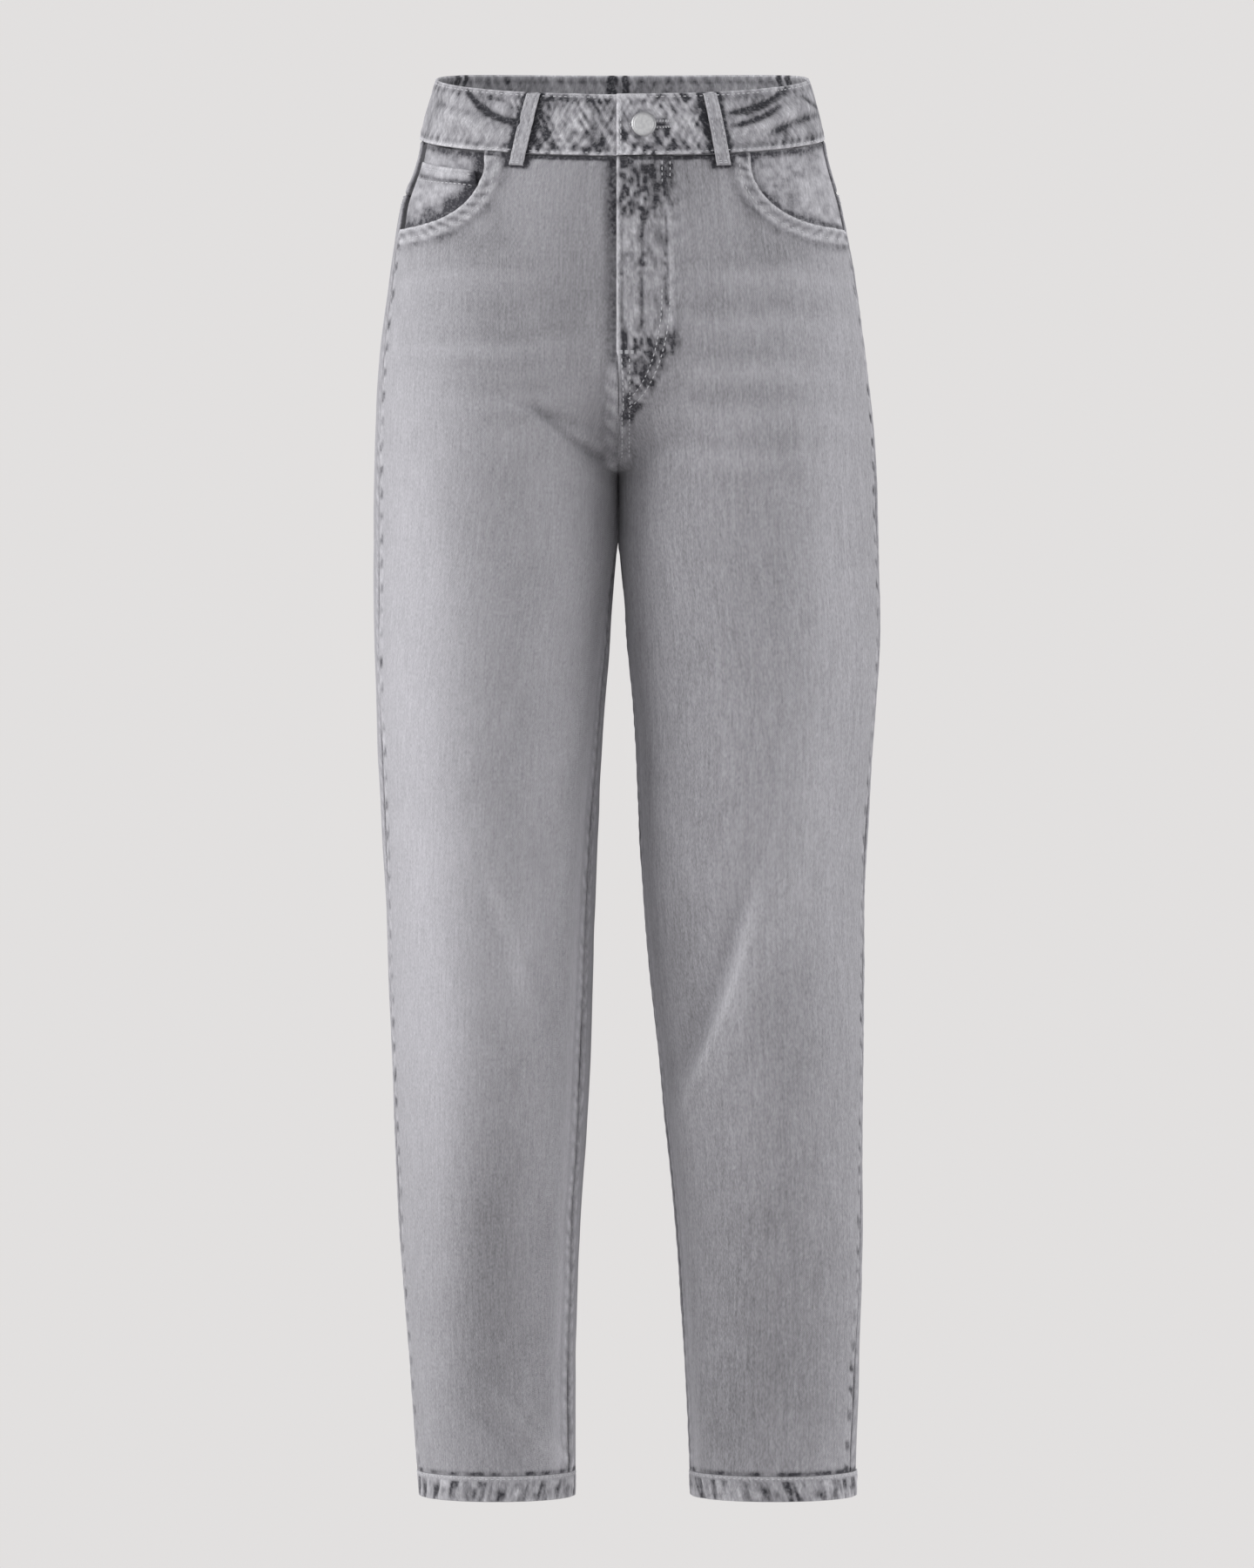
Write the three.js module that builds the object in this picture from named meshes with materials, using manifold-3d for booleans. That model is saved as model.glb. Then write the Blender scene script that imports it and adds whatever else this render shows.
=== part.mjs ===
// Barrel jeans in the filled-out form that they have when worn, hollow and open at the waist and both hems.
// Every piece of cloth is a closed wall of its own, laid along one form that a table of level sections gives.
// Millimetres. +Z is up, +X is the wearer's left, and the front faces -Y.
// The origin is the middle of the waist opening, within the height of the waistband.
import * as THREE from "three";
import Module from "manifold-3d";

const wasm = await Module();
wasm.setup();

// Driving sizes
const CLOTH = 1.2; // one layer of denim
const SEAM_GAP = 0.3; // left between two pieces that are sewn together
const LAYER = CLOTH + SEAM_GAP; // from one piece to the next that lies on it
const CROTCH_Z = -245; // where the four leg seams meet
// Where the seat starts to part into two legs. The parting ends as an arch at the middle, which is shaped by
// square and reaches reach to each side, and it is soft beside the arch.
const CLEFT = { topZ: -140, square: 2.6, soft: 2.5, reach: 22 };
const HEM_Z = -961; // lowest edge of both legs
const HEM_HEIGHT = 18;
const HEM_WALL = 2.6;
const HEM_PROUD = 0.7; // how far the turned hem stands out from the leg

const WAISTBAND = { height: 43, wall: 2.4, proud: 0.6, lap: 38, lapRise: 1.5, lapFade: 26 };
const WAIST_LINE = { side: -10.5, rise: 16, dip: 4.5 }; // the waist seam, higher at the back than in front
const LEVEL_Z = -120; // from here down the rows of points lie level
const FLY = { width: 37, overlap: 1.2, raise: 1.6, straightZ: -126, endZ: -205, overlapEndZ: -166 };
const SCOOP = { centreX: 150, halfWidth: 59, bottomZ: -76, topZ: -34 }; // pocket mouth, seen from the front
const YOKE = { atSide: 36, atBack: 70 }; // depth of the back yoke below the waist seam
const BUTTON = { x: 17, radius: 8.5, shank: 2.6, hole: 3 };
const BACK_POCKET = {
  turned: 0.5, inner: -32, width: 132, topZ: -84, drop: 5, height: 128, taper: 9, tip: 20,
};
const POCKET_EASE = 0.75; // how much further out than one layer the back pockets lie
const BELT_LOOP = { width: 10, wall: 1.8, below: 8.5, bow: 1.6, off: 0.9, topGap: 1 };

// Tables: a row of values under each row of names
const table = (names, rows) =>
  rows.map((row) => Object.fromEntries(names.map((name, i) => [name, row[i]])));

// The garment's form: level sections from the waist down. right and left are the outer half widths, rightIn
// and leftIn the inner edges of the legs, middle is the widest line's place in Y, and front and back are the
// depths from it. hips is the exponent of the one oval round the hips, and leg that of the oval round each
// leg: above 2, an oval is squarer.
const SECTIONS = table(
  ["z", "right", "left", "rightIn", "leftIn", "middle", "front", "back", "hips", "leg"],
  [
    [52, 121, 127, 0.4, 0.4, 2, 96, 98, 2.15, 2],
    [8, 134, 140, 0.4, 0.4, 2, 99, 100, 2.15, 2],
    [-29, 142, 148, 0.4, 0.4, 2, 102, 107, 2.25, 2],
    [-62, 153, 157, 0.4, 0.4, 2, 106, 117, 2.35, 2],
    [-108, 160, 166, 0.4, 0.4, 2, 109, 126, 2.5, 2],
    [-169, 167, 174, 0.4, 0.4, 1, 109, 129, 2.65, 2],
    [-230, 171, 180, 0.4, 0.4, -1, 103, 119, 2.7, 2],
    [-291, 171.5, 182, 0.6, 0.6, -2, 99, 109, 2.7, 2],
    [-352, 171, 183, 5, 5, -3, 97, 102, 2.7, 2.05],
    [-413, 169, 180, 10, 11, -3, 94, 98, 2.7, 2.1],
    [-535, 163.5, 172.5, 16, 17, 0, 89, 91, 2.7, 2.1],
    [-657, 158.5, 172, 20, 29, 4, 83, 85, 2.7, 2.1],
    [-779, 153, 171.5, 27, 41, 10, 72, 74, 2.7, 2.1],
    [-870, 146.5, 168.5, 30, 47, 13, 62, 64, 2.7, 2.05],
    [-961, 139.5, 167, 30.5, 51, 14, 54, 55, 2.7, 2],
  ],
);

// Where the seams run, in degrees from the leg's outermost and innermost line towards the front.
const SEAM_LINES = table(
  ["z", "rightSide", "leftSide", "rightIn", "leftIn"],
  [
    [52, 12, 10, 0, 0],
    [-245, 20, 11, 0, 0],
    [-400, 19, 11, 16, 6],
    [-657, 14, 12, 26, 7],
    [-961, 7, 24, 23, 7],
  ],
);

// Folds as seen from the front (face 1) or through from the front onto the back (face -1): a ridge, or a
// trough where height is below 0, along an arc from one point to another. bow is how far the arc's middle
// stands off to its left.
const FOLDS = table(
  ["face", "x1", "z1", "x2", "z2", "bow", "height", "width"],
  [
    [1, -105, 18, -60, -8, -7, -3, 5],
    [1, -120, 6, -72, -17, -4, 3, 8],
    [1, 113, 15, 77, -4, 4, -3, 5],
    [1, 130, 12, 86, -12, 3, 3, 8],
    [1, 139, 5, 103, -14, 0, -2, 5],
    [1, -66, -196, -4, -246, -6, -4, 9],
    [1, -80, -212, -14, -264, -6, 2.5, 12],
    [1, 4, -238, 56, -214, 4, -2.6, 9],
    [1, 132, -452, 52, -692, 10, 4.5, 14],
    [1, 104, -470, 34, -668, 10, -3, 15],
    [1, -92, -490, -62, -622, 6, 3.2, 14],
    [1, -126, -96, -56, -106, 3, 1.4, 10],
    [1, 62, -112, 134, -104, 3, 1.4, 10],
    [1, -132, -168, -44, -182, 4, 1.6, 12],
    [1, 52, -184, 140, -166, 4, 1.6, 12],
    [1, -92, -886, -46, -934, 2, 2.2, 9],
    [-1, -5, -234, -104, -268, -9, -5, 12],
    [-1, 5, -234, 104, -268, 9, -5, 12],
    [-1, -20, -300, -122, -330, -7, -3, 13],
    [-1, 20, -296, 126, -328, 7, -3, 13],
    [-1, -36, -628, -138, -650, -5, -3.4, 12],
    [-1, -30, -664, -122, -692, -4, -2.6, 11],
    [-1, 44, -632, 152, -652, 5, -3.4, 12],
    [-1, 50, -672, 142, -698, 4, -2.6, 11],
  ],
);

// Materials, one for each kind of finish
const material = (color, roughness, metalness = 0) =>
  new THREE.MeshStandardMaterial({ color, roughness, metalness });
const DENIM = material(0x98979c, 0.85);
const WORN_DENIM = material(0xa8a7ab, 0.85);
const TAPE = material(0x55545a, 0.8);
const METAL = material(0xb9b8b6, 0.35, 0.9);

// Helpers for numbers
const radians = THREE.MathUtils.degToRad;
const smooth = (low, high, value) => THREE.MathUtils.smoothstep(value, low, high);
const fade = (from, to, value) => 1 - smooth(from, to, value);
const signedPower = (base, power) => Math.sign(base) * Math.abs(base) ** power;

// One column of a table as a smooth function of z that never overshoots its rows.
function column(table, name) {
  const rows = [...table].sort((a, b) => a.z - b.z);
  const slopes = rows.slice(1).map((row, i) => (row[name] - rows[i][name]) / (row.z - rows[i].z));
  const tangents = rows.map((_, i) => {
    const before = slopes[i - 1];
    const after = slopes[i];
    if (before === undefined) return after;
    if (after === undefined) return before;
    return before * after <= 0 ? 0 : (2 * before * after) / (before + after);
  });
  return (z) => {
    if (z <= rows[0].z) return rows[0][name];
    if (z >= rows.at(-1).z) return rows.at(-1)[name];
    const i = rows.findIndex((row) => row.z > z) - 1;
    const step = rows[i + 1].z - rows[i].z;
    const t = (z - rows[i].z) / step;
    const ends = rows[i][name] * (1 + 2 * t) * (1 - t) ** 2 + rows[i + 1][name] * t * t * (3 - 2 * t);
    return ends + step * t * (1 - t) * (tangents[i] * (1 - t) - tangents[i + 1] * t);
  };
}

const form = Object.fromEntries(
  Object.keys(SECTIONS[0]).map((name) => [name, column(SECTIONS, name)]),
);
const seamLine = Object.fromEntries(
  Object.keys(SEAM_LINES[0]).map((name) => [name, column(SEAM_LINES, name)]),
);

// The level section of one side at height z. rounded, softened and parted tell how far it has gone from the
// one oval round the hips (0) to the oval of a leg (1): far from the middle, near it, and at the arch.
function section(side, z) {
  const outer = form[side](z);
  const inner = form[`${side}In`](z);
  const drop = THREE.MathUtils.clamp((CLEFT.topZ - z) / (CLEFT.topZ - CROTCH_Z), 0, 1);
  return {
    outer,
    inner,
    centre: (outer + inner) / 2,
    half: (outer - inner) / 2,
    middle: form.middle(z),
    front: form.front(z),
    back: form.back(z),
    hips: form.hips(z),
    leg: form.leg(z),
    rounded: smooth(0, 1, drop),
    softened: smooth(0, 1, drop) ** CLEFT.soft,
    parted: 1 - (1 - drop ** CLEFT.square) ** (1 / CLEFT.square),
  };
}

// How deep a section is at a place across it, as a share of its full depth. Outside it the share is below 0.
function depthShare(s, across) {
  const ofHips = signedPower(1 - Math.abs(across / s.outer) ** s.hips, 1 / s.hips);
  const ofLeg = signedPower(1 - Math.abs((across - s.centre) / s.half) ** s.leg, 1 / s.leg);
  const nearMiddle = THREE.MathUtils.clamp(1 - across / s.centre, 0, 1) ** 2;
  const atArch = THREE.MathUtils.clamp(1 - across / CLEFT.reach, 0, 1) ** 2;
  const inside = THREE.MathUtils.lerp(s.softened, s.parted, atArch);
  return THREE.MathUtils.lerp(ofHips, ofLeg, THREE.MathUtils.lerp(s.rounded, inside, nearMiddle));
}

// The plain point on the form. angle is 0 at the outermost line, below 0 towards the front, and a half turn
// at the innermost line. Above the crotch the surface runs straight on past a half turn, across the middle.
function plainPoint(side, angle, z) {
  const s = section(side, z);
  const past = z > CROTCH_Z ? Math.max(0, Math.abs(angle) - Math.PI) : 0;
  const turn = Math.sign(angle) * (Math.abs(angle) - past);
  const across = s.centre + s.half * signedPower(Math.cos(turn), 2 / s.leg);
  const inFront = past > 0 ? angle < 0 : Math.sin(turn) < 0;
  const depth = Math.max(0, depthShare(s, across)) * (inFront ? -s.front : s.back);
  const x = across - past * s.half;
  return new THREE.Vector3(side === "left" ? x : -x, s.middle + depth, z);
}

// Above 0 outside the plain form and below 0 inside it.
function level(side, x, y, z) {
  const s = section(side, z);
  const across = Math.max(side === "left" ? x : -x, s.inner);
  const along = Math.abs(y - s.middle) / (y < s.middle ? s.front : s.back);
  return along ** s.leg - signedPower(depthShare(s, across), s.leg);
}

function outward(side, p) {
  const h = 0.5;
  const inner = section(side, p.z).inner + h;
  const x = side === "left" ? Math.max(p.x, inner) : Math.min(p.x, -inner);
  return new THREE.Vector3(
    level(side, x + h, p.y, p.z) - level(side, x - h, p.y, p.z),
    level(side, x, p.y + h, p.z) - level(side, x, p.y - h, p.z),
    level(side, x, p.y, p.z + h) - level(side, x, p.y, p.z - h),
  ).normalize();
}

// The height of every fold at a point of the form.
function foldHeight(side, p) {
  const s = section(side, p.z);
  const facing = (s.middle - p.y) / s.front;
  let height = 0;
  for (const fold of FOLDS) {
    const onFace = smooth(0.1, 0.45, facing * fold.face);
    const dx = fold.x2 - fold.x1;
    const dz = fold.z2 - fold.z1;
    const length = Math.hypot(dx, dz);
    const along = ((p.x - fold.x1) * dx + (p.z - fold.z1) * dz) / length ** 2;
    const arc = fold.bow * 4 * along * (1 - along);
    const aside = ((p.z - fold.z1) * dx - (p.x - fold.x1) * dz) / length - arc;
    const ends = smooth(-0.15, 0.25, along) * fade(0.75, 1.15, along);
    height += onFace * ends * fold.height * Math.exp(-((aside / fold.width) ** 2));
  }
  return height;
}

// A point of the garment's outer form with its folds, moved out by a distance (in, where that is below 0).
// The folds leave the rise seams closed, and below the fly neither side passes the middle.
function formPoint(side, angle, z, out = 0) {
  const p = plainPoint(side, angle, z);
  const away = outward(side, p);
  const fold = away.clone().multiplyScalar(foldHeight(side, p));
  if (z > CROTCH_Z) fold.x *= smooth(0, 12, Math.abs(p.x));
  p.add(fold).addScaledVector(away, out);
  if (z > FLY.overlapEndZ) return p;
  p.x = side === "left" ? Math.max(p.x, SEAM_GAP / 2) : Math.min(p.x, -SEAM_GAP / 2);
  return p;
}

// The angle at which a side's section passes a place across the front (towards -1) or the back (towards 1).
function angleAcross(side, z, across, towards) {
  const s = section(side, z);
  if (across < s.inner) return towards * (Math.PI + (s.inner - across) / s.half);
  return towards * Math.acos(signedPower((across - s.centre) / s.half, s.leg / 2));
}

const seamTurn = (side, z) => SEAM_GAP / 2 / form.front(z); // half a seam gap, as an angle

const sideSeam = (side, z) => -radians(seamLine[`${side}Side`](z));

// A panel's inner edge: the rise seam above the crotch, and the inner leg seam below it.
function innerEdge(side, z, towards, across = SEAM_GAP / 2) {
  if (z > CROTCH_Z) return angleAcross(side, z, across, towards);
  const turn = radians(seamLine[`${side}In`](z));
  return towards * (Math.PI - seamTurn(side, z)) + turn;
}

// The waist seam's height at an angle.
function waistLine(side, angle) {
  const s = section(side, WAIST_LINE.side);
  const facing = (plainPoint(side, angle, WAIST_LINE.side).y - s.middle) / (angle < 0 ? s.front : s.back);
  return WAIST_LINE.side + WAIST_LINE.rise * facing - WAIST_LINE.dip * facing ** 2;
}

// The yoke seam's height, share running from the side seam to the middle back.
const yokeLine = (side, angle, share) =>
  waistLine(side, angle) - THREE.MathUtils.lerp(YOKE.atSide, YOKE.atBack, share);

// An angle and a height that each depend on the other.
function settled(angleAt, heightAt) {
  let place = { angle: 0, z: WAIST_LINE.side };
  for (let i = 0; i < 4; i++) {
    const angle = angleAt(place.z);
    place = { angle, z: heightAt(angle) };
  }
  return place;
}

// A closed wall from a grid of points. at(u, v) gives {outer, inner}, with u and v from 0 to 1. Seen from
// outside, u runs to the right and v runs down. A wall with around set closes on itself in u.
function clothWall(at, columns, rows, around = false) {
  const wide = around ? columns : columns + 1;
  const points = { outer: [], inner: [] };
  for (let j = 0; j <= rows; j++) {
    for (let i = 0; i < wide; i++) {
      const both = at(i / columns, j / rows);
      points.outer.push(both.outer);
      points.inner.push(both.inner);
    }
  }
  const corner = (i, j) => j * wide + (i % wide);
  const innerStart = points.outer.length;
  const faces = [];
  const quad = (a, b, c, d) => faces.push(a, b, c, a, c, d);
  for (let j = 0; j < rows; j++) {
    for (let i = 0; i < columns; i++) {
      const [a, b, c, d] = [corner(i, j), corner(i, j + 1), corner(i + 1, j + 1), corner(i + 1, j)];
      quad(a, b, c, d);
      quad(d + innerStart, c + innerStart, b + innerStart, a + innerStart);
    }
  }
  const edge = (a, b) => quad(a, b, b + innerStart, a + innerStart);
  for (let i = 0; i < columns; i++) {
    edge(corner(i, 0), corner(i + 1, 0));
    edge(corner(i + 1, rows), corner(i, rows));
  }
  for (let j = 0; j < rows && !around; j++) {
    edge(corner(0, j + 1), corner(0, j));
    edge(corner(columns, j), corner(columns, j + 1));
  }
  const geometry = new THREE.BufferGeometry().setFromPoints([...points.outer, ...points.inner]);
  geometry.setIndex(faces);
  geometry.computeVertexNormals();
  return geometry;
}

// A wall on one side of the garment. place(u, v) gives {angle, z, out}, where out is how far the outer face
// is from the form. u runs from front to back, and the left side mirrors the order of the points.
function sideWall(side, place, columns, rows, wall = CLOTH) {
  return clothWall(
    (u, v) => {
      const { angle, z, out = 0 } = place(side === "left" ? u : 1 - u, v);
      return { outer: formPoint(side, angle, z, out), inner: formPoint(side, angle, z, out - wall) };
    },
    columns,
    rows,
  );
}

// Solids that are joined or cut
function solid(geometry) {
  const vertProperties = new Float32Array(geometry.attributes.position.array);
  const triVerts = new Uint32Array(geometry.index.array);
  return new wasm.Manifold(new wasm.Mesh({ numProp: 3, vertProperties, triVerts }));
}

function geometryOf(manifold) {
  const mesh = manifold.getMesh();
  const geometry = new THREE.BufferGeometry();
  geometry.setAttribute("position", new THREE.BufferAttribute(mesh.vertProperties, 3));
  geometry.setIndex(new THREE.BufferAttribute(mesh.triVerts, 1));
  geometry.computeVertexNormals();
  return geometry;
}

// A three.js geometry with its shared points merged, as a solid.
function mergedSolid(geometry) {
  const seen = new Map();
  const position = geometry.attributes.position;
  const place = (i) => [position.getX(i), position.getY(i), position.getZ(i)];
  const corners = geometry.index ? [...geometry.index.array] : [...Array(position.count).keys()];
  const points = [];
  const faces = corners.map((i) => {
    const key = place(i).map((value) => value.toFixed(4)).join();
    if (!seen.has(key)) {
      seen.set(key, points.length);
      points.push(new THREE.Vector3(...place(i)));
    }
    return seen.get(key);
  });
  const merged = new THREE.BufferGeometry().setFromPoints(points);
  merged.setIndex(faces);
  return solid(merged);
}

const jeans = new THREE.Group();

function add(name, geometry, finish) {
  const mesh = new THREE.Mesh(geometry, finish);
  mesh.name = name;
  jeans.add(mesh);
  return mesh;
}

// The fly: its raised, J-shaped double layer lies on the left front, whose edge laps over the right front.
function flyRaise(across, z) {
  const drop = THREE.MathUtils.clamp((FLY.straightZ - z) / (FLY.straightZ - FLY.endZ), 0, 1);
  const reach = FLY.width * Math.sqrt(1 - drop ** 2);
  return FLY.raise * fade(reach - 1, reach + 3, across);
}

function flyEdge(z) {
  return THREE.MathUtils.lerp(-FLY.overlap, SEAM_GAP / 2, fade(FLY.overlapEndZ - 8, FLY.overlapEndZ, z));
}

// Heights of the level rows, from the end of the waist's slope to the hem, closer together at the crotch.
function levelRows() {
  const rows = [];
  const cleftSteps = 9;
  for (let i = 0; i <= cleftSteps; i++) {
    rows.push(LEVEL_Z + (CROTCH_Z - LEVEL_Z) * Math.sin((i / cleftSteps) * (Math.PI / 2)));
  }
  const legSteps = 22;
  const hemTop = HEM_Z + HEM_HEIGHT + SEAM_GAP;
  for (let i = 1; i <= legSteps; i++) {
    rows.push(CROTCH_Z + (hemTop - CROTCH_Z) * (i / legSteps) ** 1.15);
  }
  return rows;
}

// Height of a panel's row: sloping rows from its top line to the first level row, then the level rows.
function panelHeight(v, rowCount, topLine) {
  const levels = levelRows();
  const slopingRows = rowCount - (levels.length - 1);
  const row = Math.round(v * rowCount);
  if (row >= slopingRows) return levels[row - slopingRows];
  return THREE.MathUtils.lerp(topLine, LEVEL_Z, row / slopingRows);
}

const LEVEL_ROW_COUNT = levelRows().length - 1;

function frontPanel(side) {
  const rowCount = LEVEL_ROW_COUNT + 5;
  const columns = 18;
  const geometry = sideWall(
    side,
    (u, v) => {
      const angleAt = (z) => {
        const start = innerEdge(side, z, -1, side === "left" ? flyEdge(z) : SEAM_GAP / 2);
        return THREE.MathUtils.lerp(start, sideSeam(side, z) - seamTurn(side, z), u);
      };
      const { angle, z } = settled(angleAt, (at) => panelHeight(v, rowCount, waistLine(side, at)));
      const out = side === "left" && z > CROTCH_Z ? flyRaise(plainPoint(side, angle, z).x, z) : 0;
      return { angle, z, out };
    },
    columns,
    rowCount,
  );
  return geometryOf(solid(geometry).subtract(scoopCutter(side)));
}

// The body that cuts the pocket mouth out of a front: a quarter oval, open to the side, pushed through it.
function scoopCutter(side) {
  const beyond = 60;
  const outline = new THREE.Shape();
  const inside = SCOOP.centreX - SCOOP.halfWidth;
  outline.moveTo(inside, SCOOP.topZ);
  outline.absellipse(
    SCOOP.centreX, SCOOP.topZ, SCOOP.halfWidth, SCOOP.topZ - SCOOP.bottomZ, Math.PI, 1.5 * Math.PI, false, 0,
  );
  outline.lineTo(SCOOP.centreX + beyond, SCOOP.bottomZ);
  outline.lineTo(SCOOP.centreX + beyond, beyond);
  outline.lineTo(inside, beyond);
  const body = new THREE.ExtrudeGeometry(outline, { depth: 200, bevelEnabled: false, curveSegments: 12 });
  body.rotateX(Math.PI / 2);
  body.deleteAttribute("normal");
  body.deleteAttribute("uv");
  const cutter = mergedSolid(body);
  return side === "left" ? cutter : cutter.mirror([1, 0, 0]);
}

function backPanel(side) {
  const rowCount = LEVEL_ROW_COUNT + 2;
  const columns = 15;
  return sideWall(
    side,
    (u, v) => settled(
      (z) => THREE.MathUtils.lerp(sideSeam(side, z) + seamTurn(side, z), innerEdge(side, z, 1), u),
      (angle) => panelHeight(v, rowCount, yokeLine(side, angle, u) - SEAM_GAP / 2),
    ),
    columns,
    rowCount,
  );
}

function backYoke(side) {
  const columns = 14;
  const rows = 3;
  return sideWall(
    side,
    (u, v) => settled(
      (z) => THREE.MathUtils.lerp(sideSeam(side, z) + seamTurn(side, z), innerEdge(side, z, 1), u),
      (angle) => THREE.MathUtils.lerp(waistLine(side, angle), yokeLine(side, angle, u) + SEAM_GAP / 2, v),
    ),
    columns,
    rows,
  );
}

// A piece behind the pocket mouth, from under the front's cut edge to the side seam.
function pocketPiece(side, innerX, top, bottomZ, layers, sideMargin, columns, rows) {
  return sideWall(
    side,
    (u, v) => {
      const angleAt = (z) => {
        const end = sideSeam(side, z) - seamTurn(side, z) - sideMargin / form.front(z);
        return THREE.MathUtils.lerp(angleAcross(side, z, innerX, -1), end, u);
      };
      const heightAt = (angle) => THREE.MathUtils.lerp(waistLine(side, angle) - top, bottomZ, v);
      return { ...settled(angleAt, heightAt), out: -layers * LAYER };
    },
    columns,
    rows,
  );
}

// The angle at which a back panel meets a level line of sight, turned from straight behind towards the side.
function angleSeen(side, z, aside, turned) {
  let [low, high] = [0.05, innerEdge(side, z, 1)];
  for (let i = 0; i < 24; i++) {
    const angle = (low + high) / 2;
    const p = plainPoint(side, angle, z);
    if (Math.abs(p.x) * Math.cos(turned) - p.y * Math.sin(turned) > aside) low = angle;
    else high = angle;
  }
  return low;
}

// A square patch pocket with a pointed bottom, laid on a back panel.
function backPocket(side) {
  const { turned, inner, width, topZ, drop, height, taper, tip } = BACK_POCKET;
  const columns = 14;
  const rows = 14;
  return sideWall(
    side,
    (u, v) => {
      const aside = inner + width * (1 - u) - taper * v * (1 - 2 * u);
      const z = topZ - drop * u - (height + tip * (1 - Math.abs(2 * u - 1))) * v;
      return { angle: angleSeen(side, z, aside, turned), z, out: LAYER + POCKET_EASE };
    },
    columns,
    rows,
  );
}

// The waist line's angles in equal steps of way round, so that places on the waistband go by their distance.
const WAIST_STEPS = 200;
const waistRing = Object.fromEntries(["left", "right"].map((side) => {
  const angles = Array.from({ length: WAIST_STEPS + 1 }, (_, i) => (i / WAIST_STEPS - 0.5) * 2 * Math.PI);
  const points = angles.map((angle) => plainPoint(side, angle, WAIST_LINE.side));
  const reached = [0];
  for (let i = 1; i <= WAIST_STEPS; i++) reached.push(reached[i - 1] + points[i].distanceTo(points[i - 1]));
  return [side, { angles, reached, length: reached.at(-1) }];
}));
const WAIST_ROUND = waistRing.left.length + waistRing.right.length;

// Turns a distance round the waist into a side and its angle. It is 0 at the middle front and grows to the
// wearer's left.
function aroundWaist(distance) {
  const d = THREE.MathUtils.euclideanModulo(distance, WAIST_ROUND);
  const side = d <= waistRing.left.length ? "left" : "right";
  const { angles, reached } = waistRing[side];
  const from = side === "left" ? d : WAIST_ROUND - d;
  const i = Math.min(WAIST_STEPS - 1, reached.findLastIndex((value) => value <= from));
  const share = (from - reached[i]) / (reached[i + 1] - reached[i]);
  return { side, angle: THREE.MathUtils.lerp(angles[i], angles[i + 1], share) };
}

// Where each belt loop ends at the bottom, and how far its top leans to the wearer's left.
const LOOP_PLACES = {
  front_left: { at: 70.5, lean: -5 },
  front_right: { at: WAIST_ROUND - 68, lean: 7.5 },
  back_left: { at: 250, lean: 0 },
  back_right: { at: WAIST_ROUND - 246, lean: 0 },
  middle_back: { at: waistRing.left.length, lean: 0 },
};

function waistPoint(distance, above, out) {
  const { side, angle } = aroundWaist(distance);
  return formPoint(side, angle, waistLine(side, angle) + above, out);
}

// The waistband goes once round from its left end, and its right end runs on beneath that as the underlap.
const BAND = { start: -FLY.overlap, end: WAIST_ROUND + WAISTBAND.lap };

function bandOut(distance) {
  const { lap, lapFade, lapRise, proud } = WAISTBAND;
  const over = lapRise * fade(lap, lap + lapFade, distance);
  const under = lapRise * smooth(WAIST_ROUND + BAND.start - lapFade, WAIST_ROUND + BAND.start, distance);
  return proud + over - under;
}

function waistband() {
  const columns = 100;
  const rows = 4;
  const band = clothWall(
    (u, v) => {
      const at = THREE.MathUtils.lerp(BAND.start, BAND.end, u);
      const above = THREE.MathUtils.lerp(WAISTBAND.height, SEAM_GAP, v);
      const out = bandOut(at);
      return { outer: waistPoint(at, above, out), inner: waistPoint(at, above, out - WAISTBAND.wall) };
    },
    columns,
    rows,
  );
  const drill = new THREE.CylinderGeometry(BUTTON.hole, BUTTON.hole, 6, 20).rotateX(Math.PI / 2);
  drill.translate(0, 0, WAISTBAND.proud + 1.8);
  drill.applyMatrix4(buttonFrame());
  return geometryOf(solid(band).subtract(mergedSolid(drill)));
}

// The frame of the button: +Z points out of the band, and z = 0 lies on the garment's form.
function buttonFrame() {
  const { side, angle } = aroundWaist(BUTTON.x);
  const z = waistLine(side, angle) + WAISTBAND.height / 2;
  const place = formPoint(side, angle, z);
  const turn = new THREE.Quaternion().setFromUnitVectors(new THREE.Vector3(0, 0, 1), outward(side, place));
  return new THREE.Matrix4().compose(place, turn, new THREE.Vector3(1, 1, 1));
}

// A shank button: its foot stands on the underlap, its shank passes the hole and its cap lies on the band.
function button() {
  const foot = WAISTBAND.proud - WAISTBAND.lapRise + SEAM_GAP;
  const cap = WAISTBAND.proud + WAISTBAND.lapRise + SEAM_GAP + 0.3;
  const r = BUTTON.radius;
  const profile = [
    [0, foot],
    [BUTTON.shank, foot],
    [BUTTON.shank, cap],
    [r - 0.7, cap],
    [r, cap + 0.6],
    [r, cap + 1.3],
    [r - 0.8, cap + 2],
    [r - 1.7, cap + 1.8],
    [r - 2.2, cap + 1.5],
    [r - 4.5, cap + 2],
    [0, cap + 2.3],
  ].map(([x, y]) => new THREE.Vector2(x, y));
  const geometry = new THREE.LatheGeometry(profile, 24).rotateX(Math.PI / 2);
  return geometry.applyMatrix4(buttonFrame());
}

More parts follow.
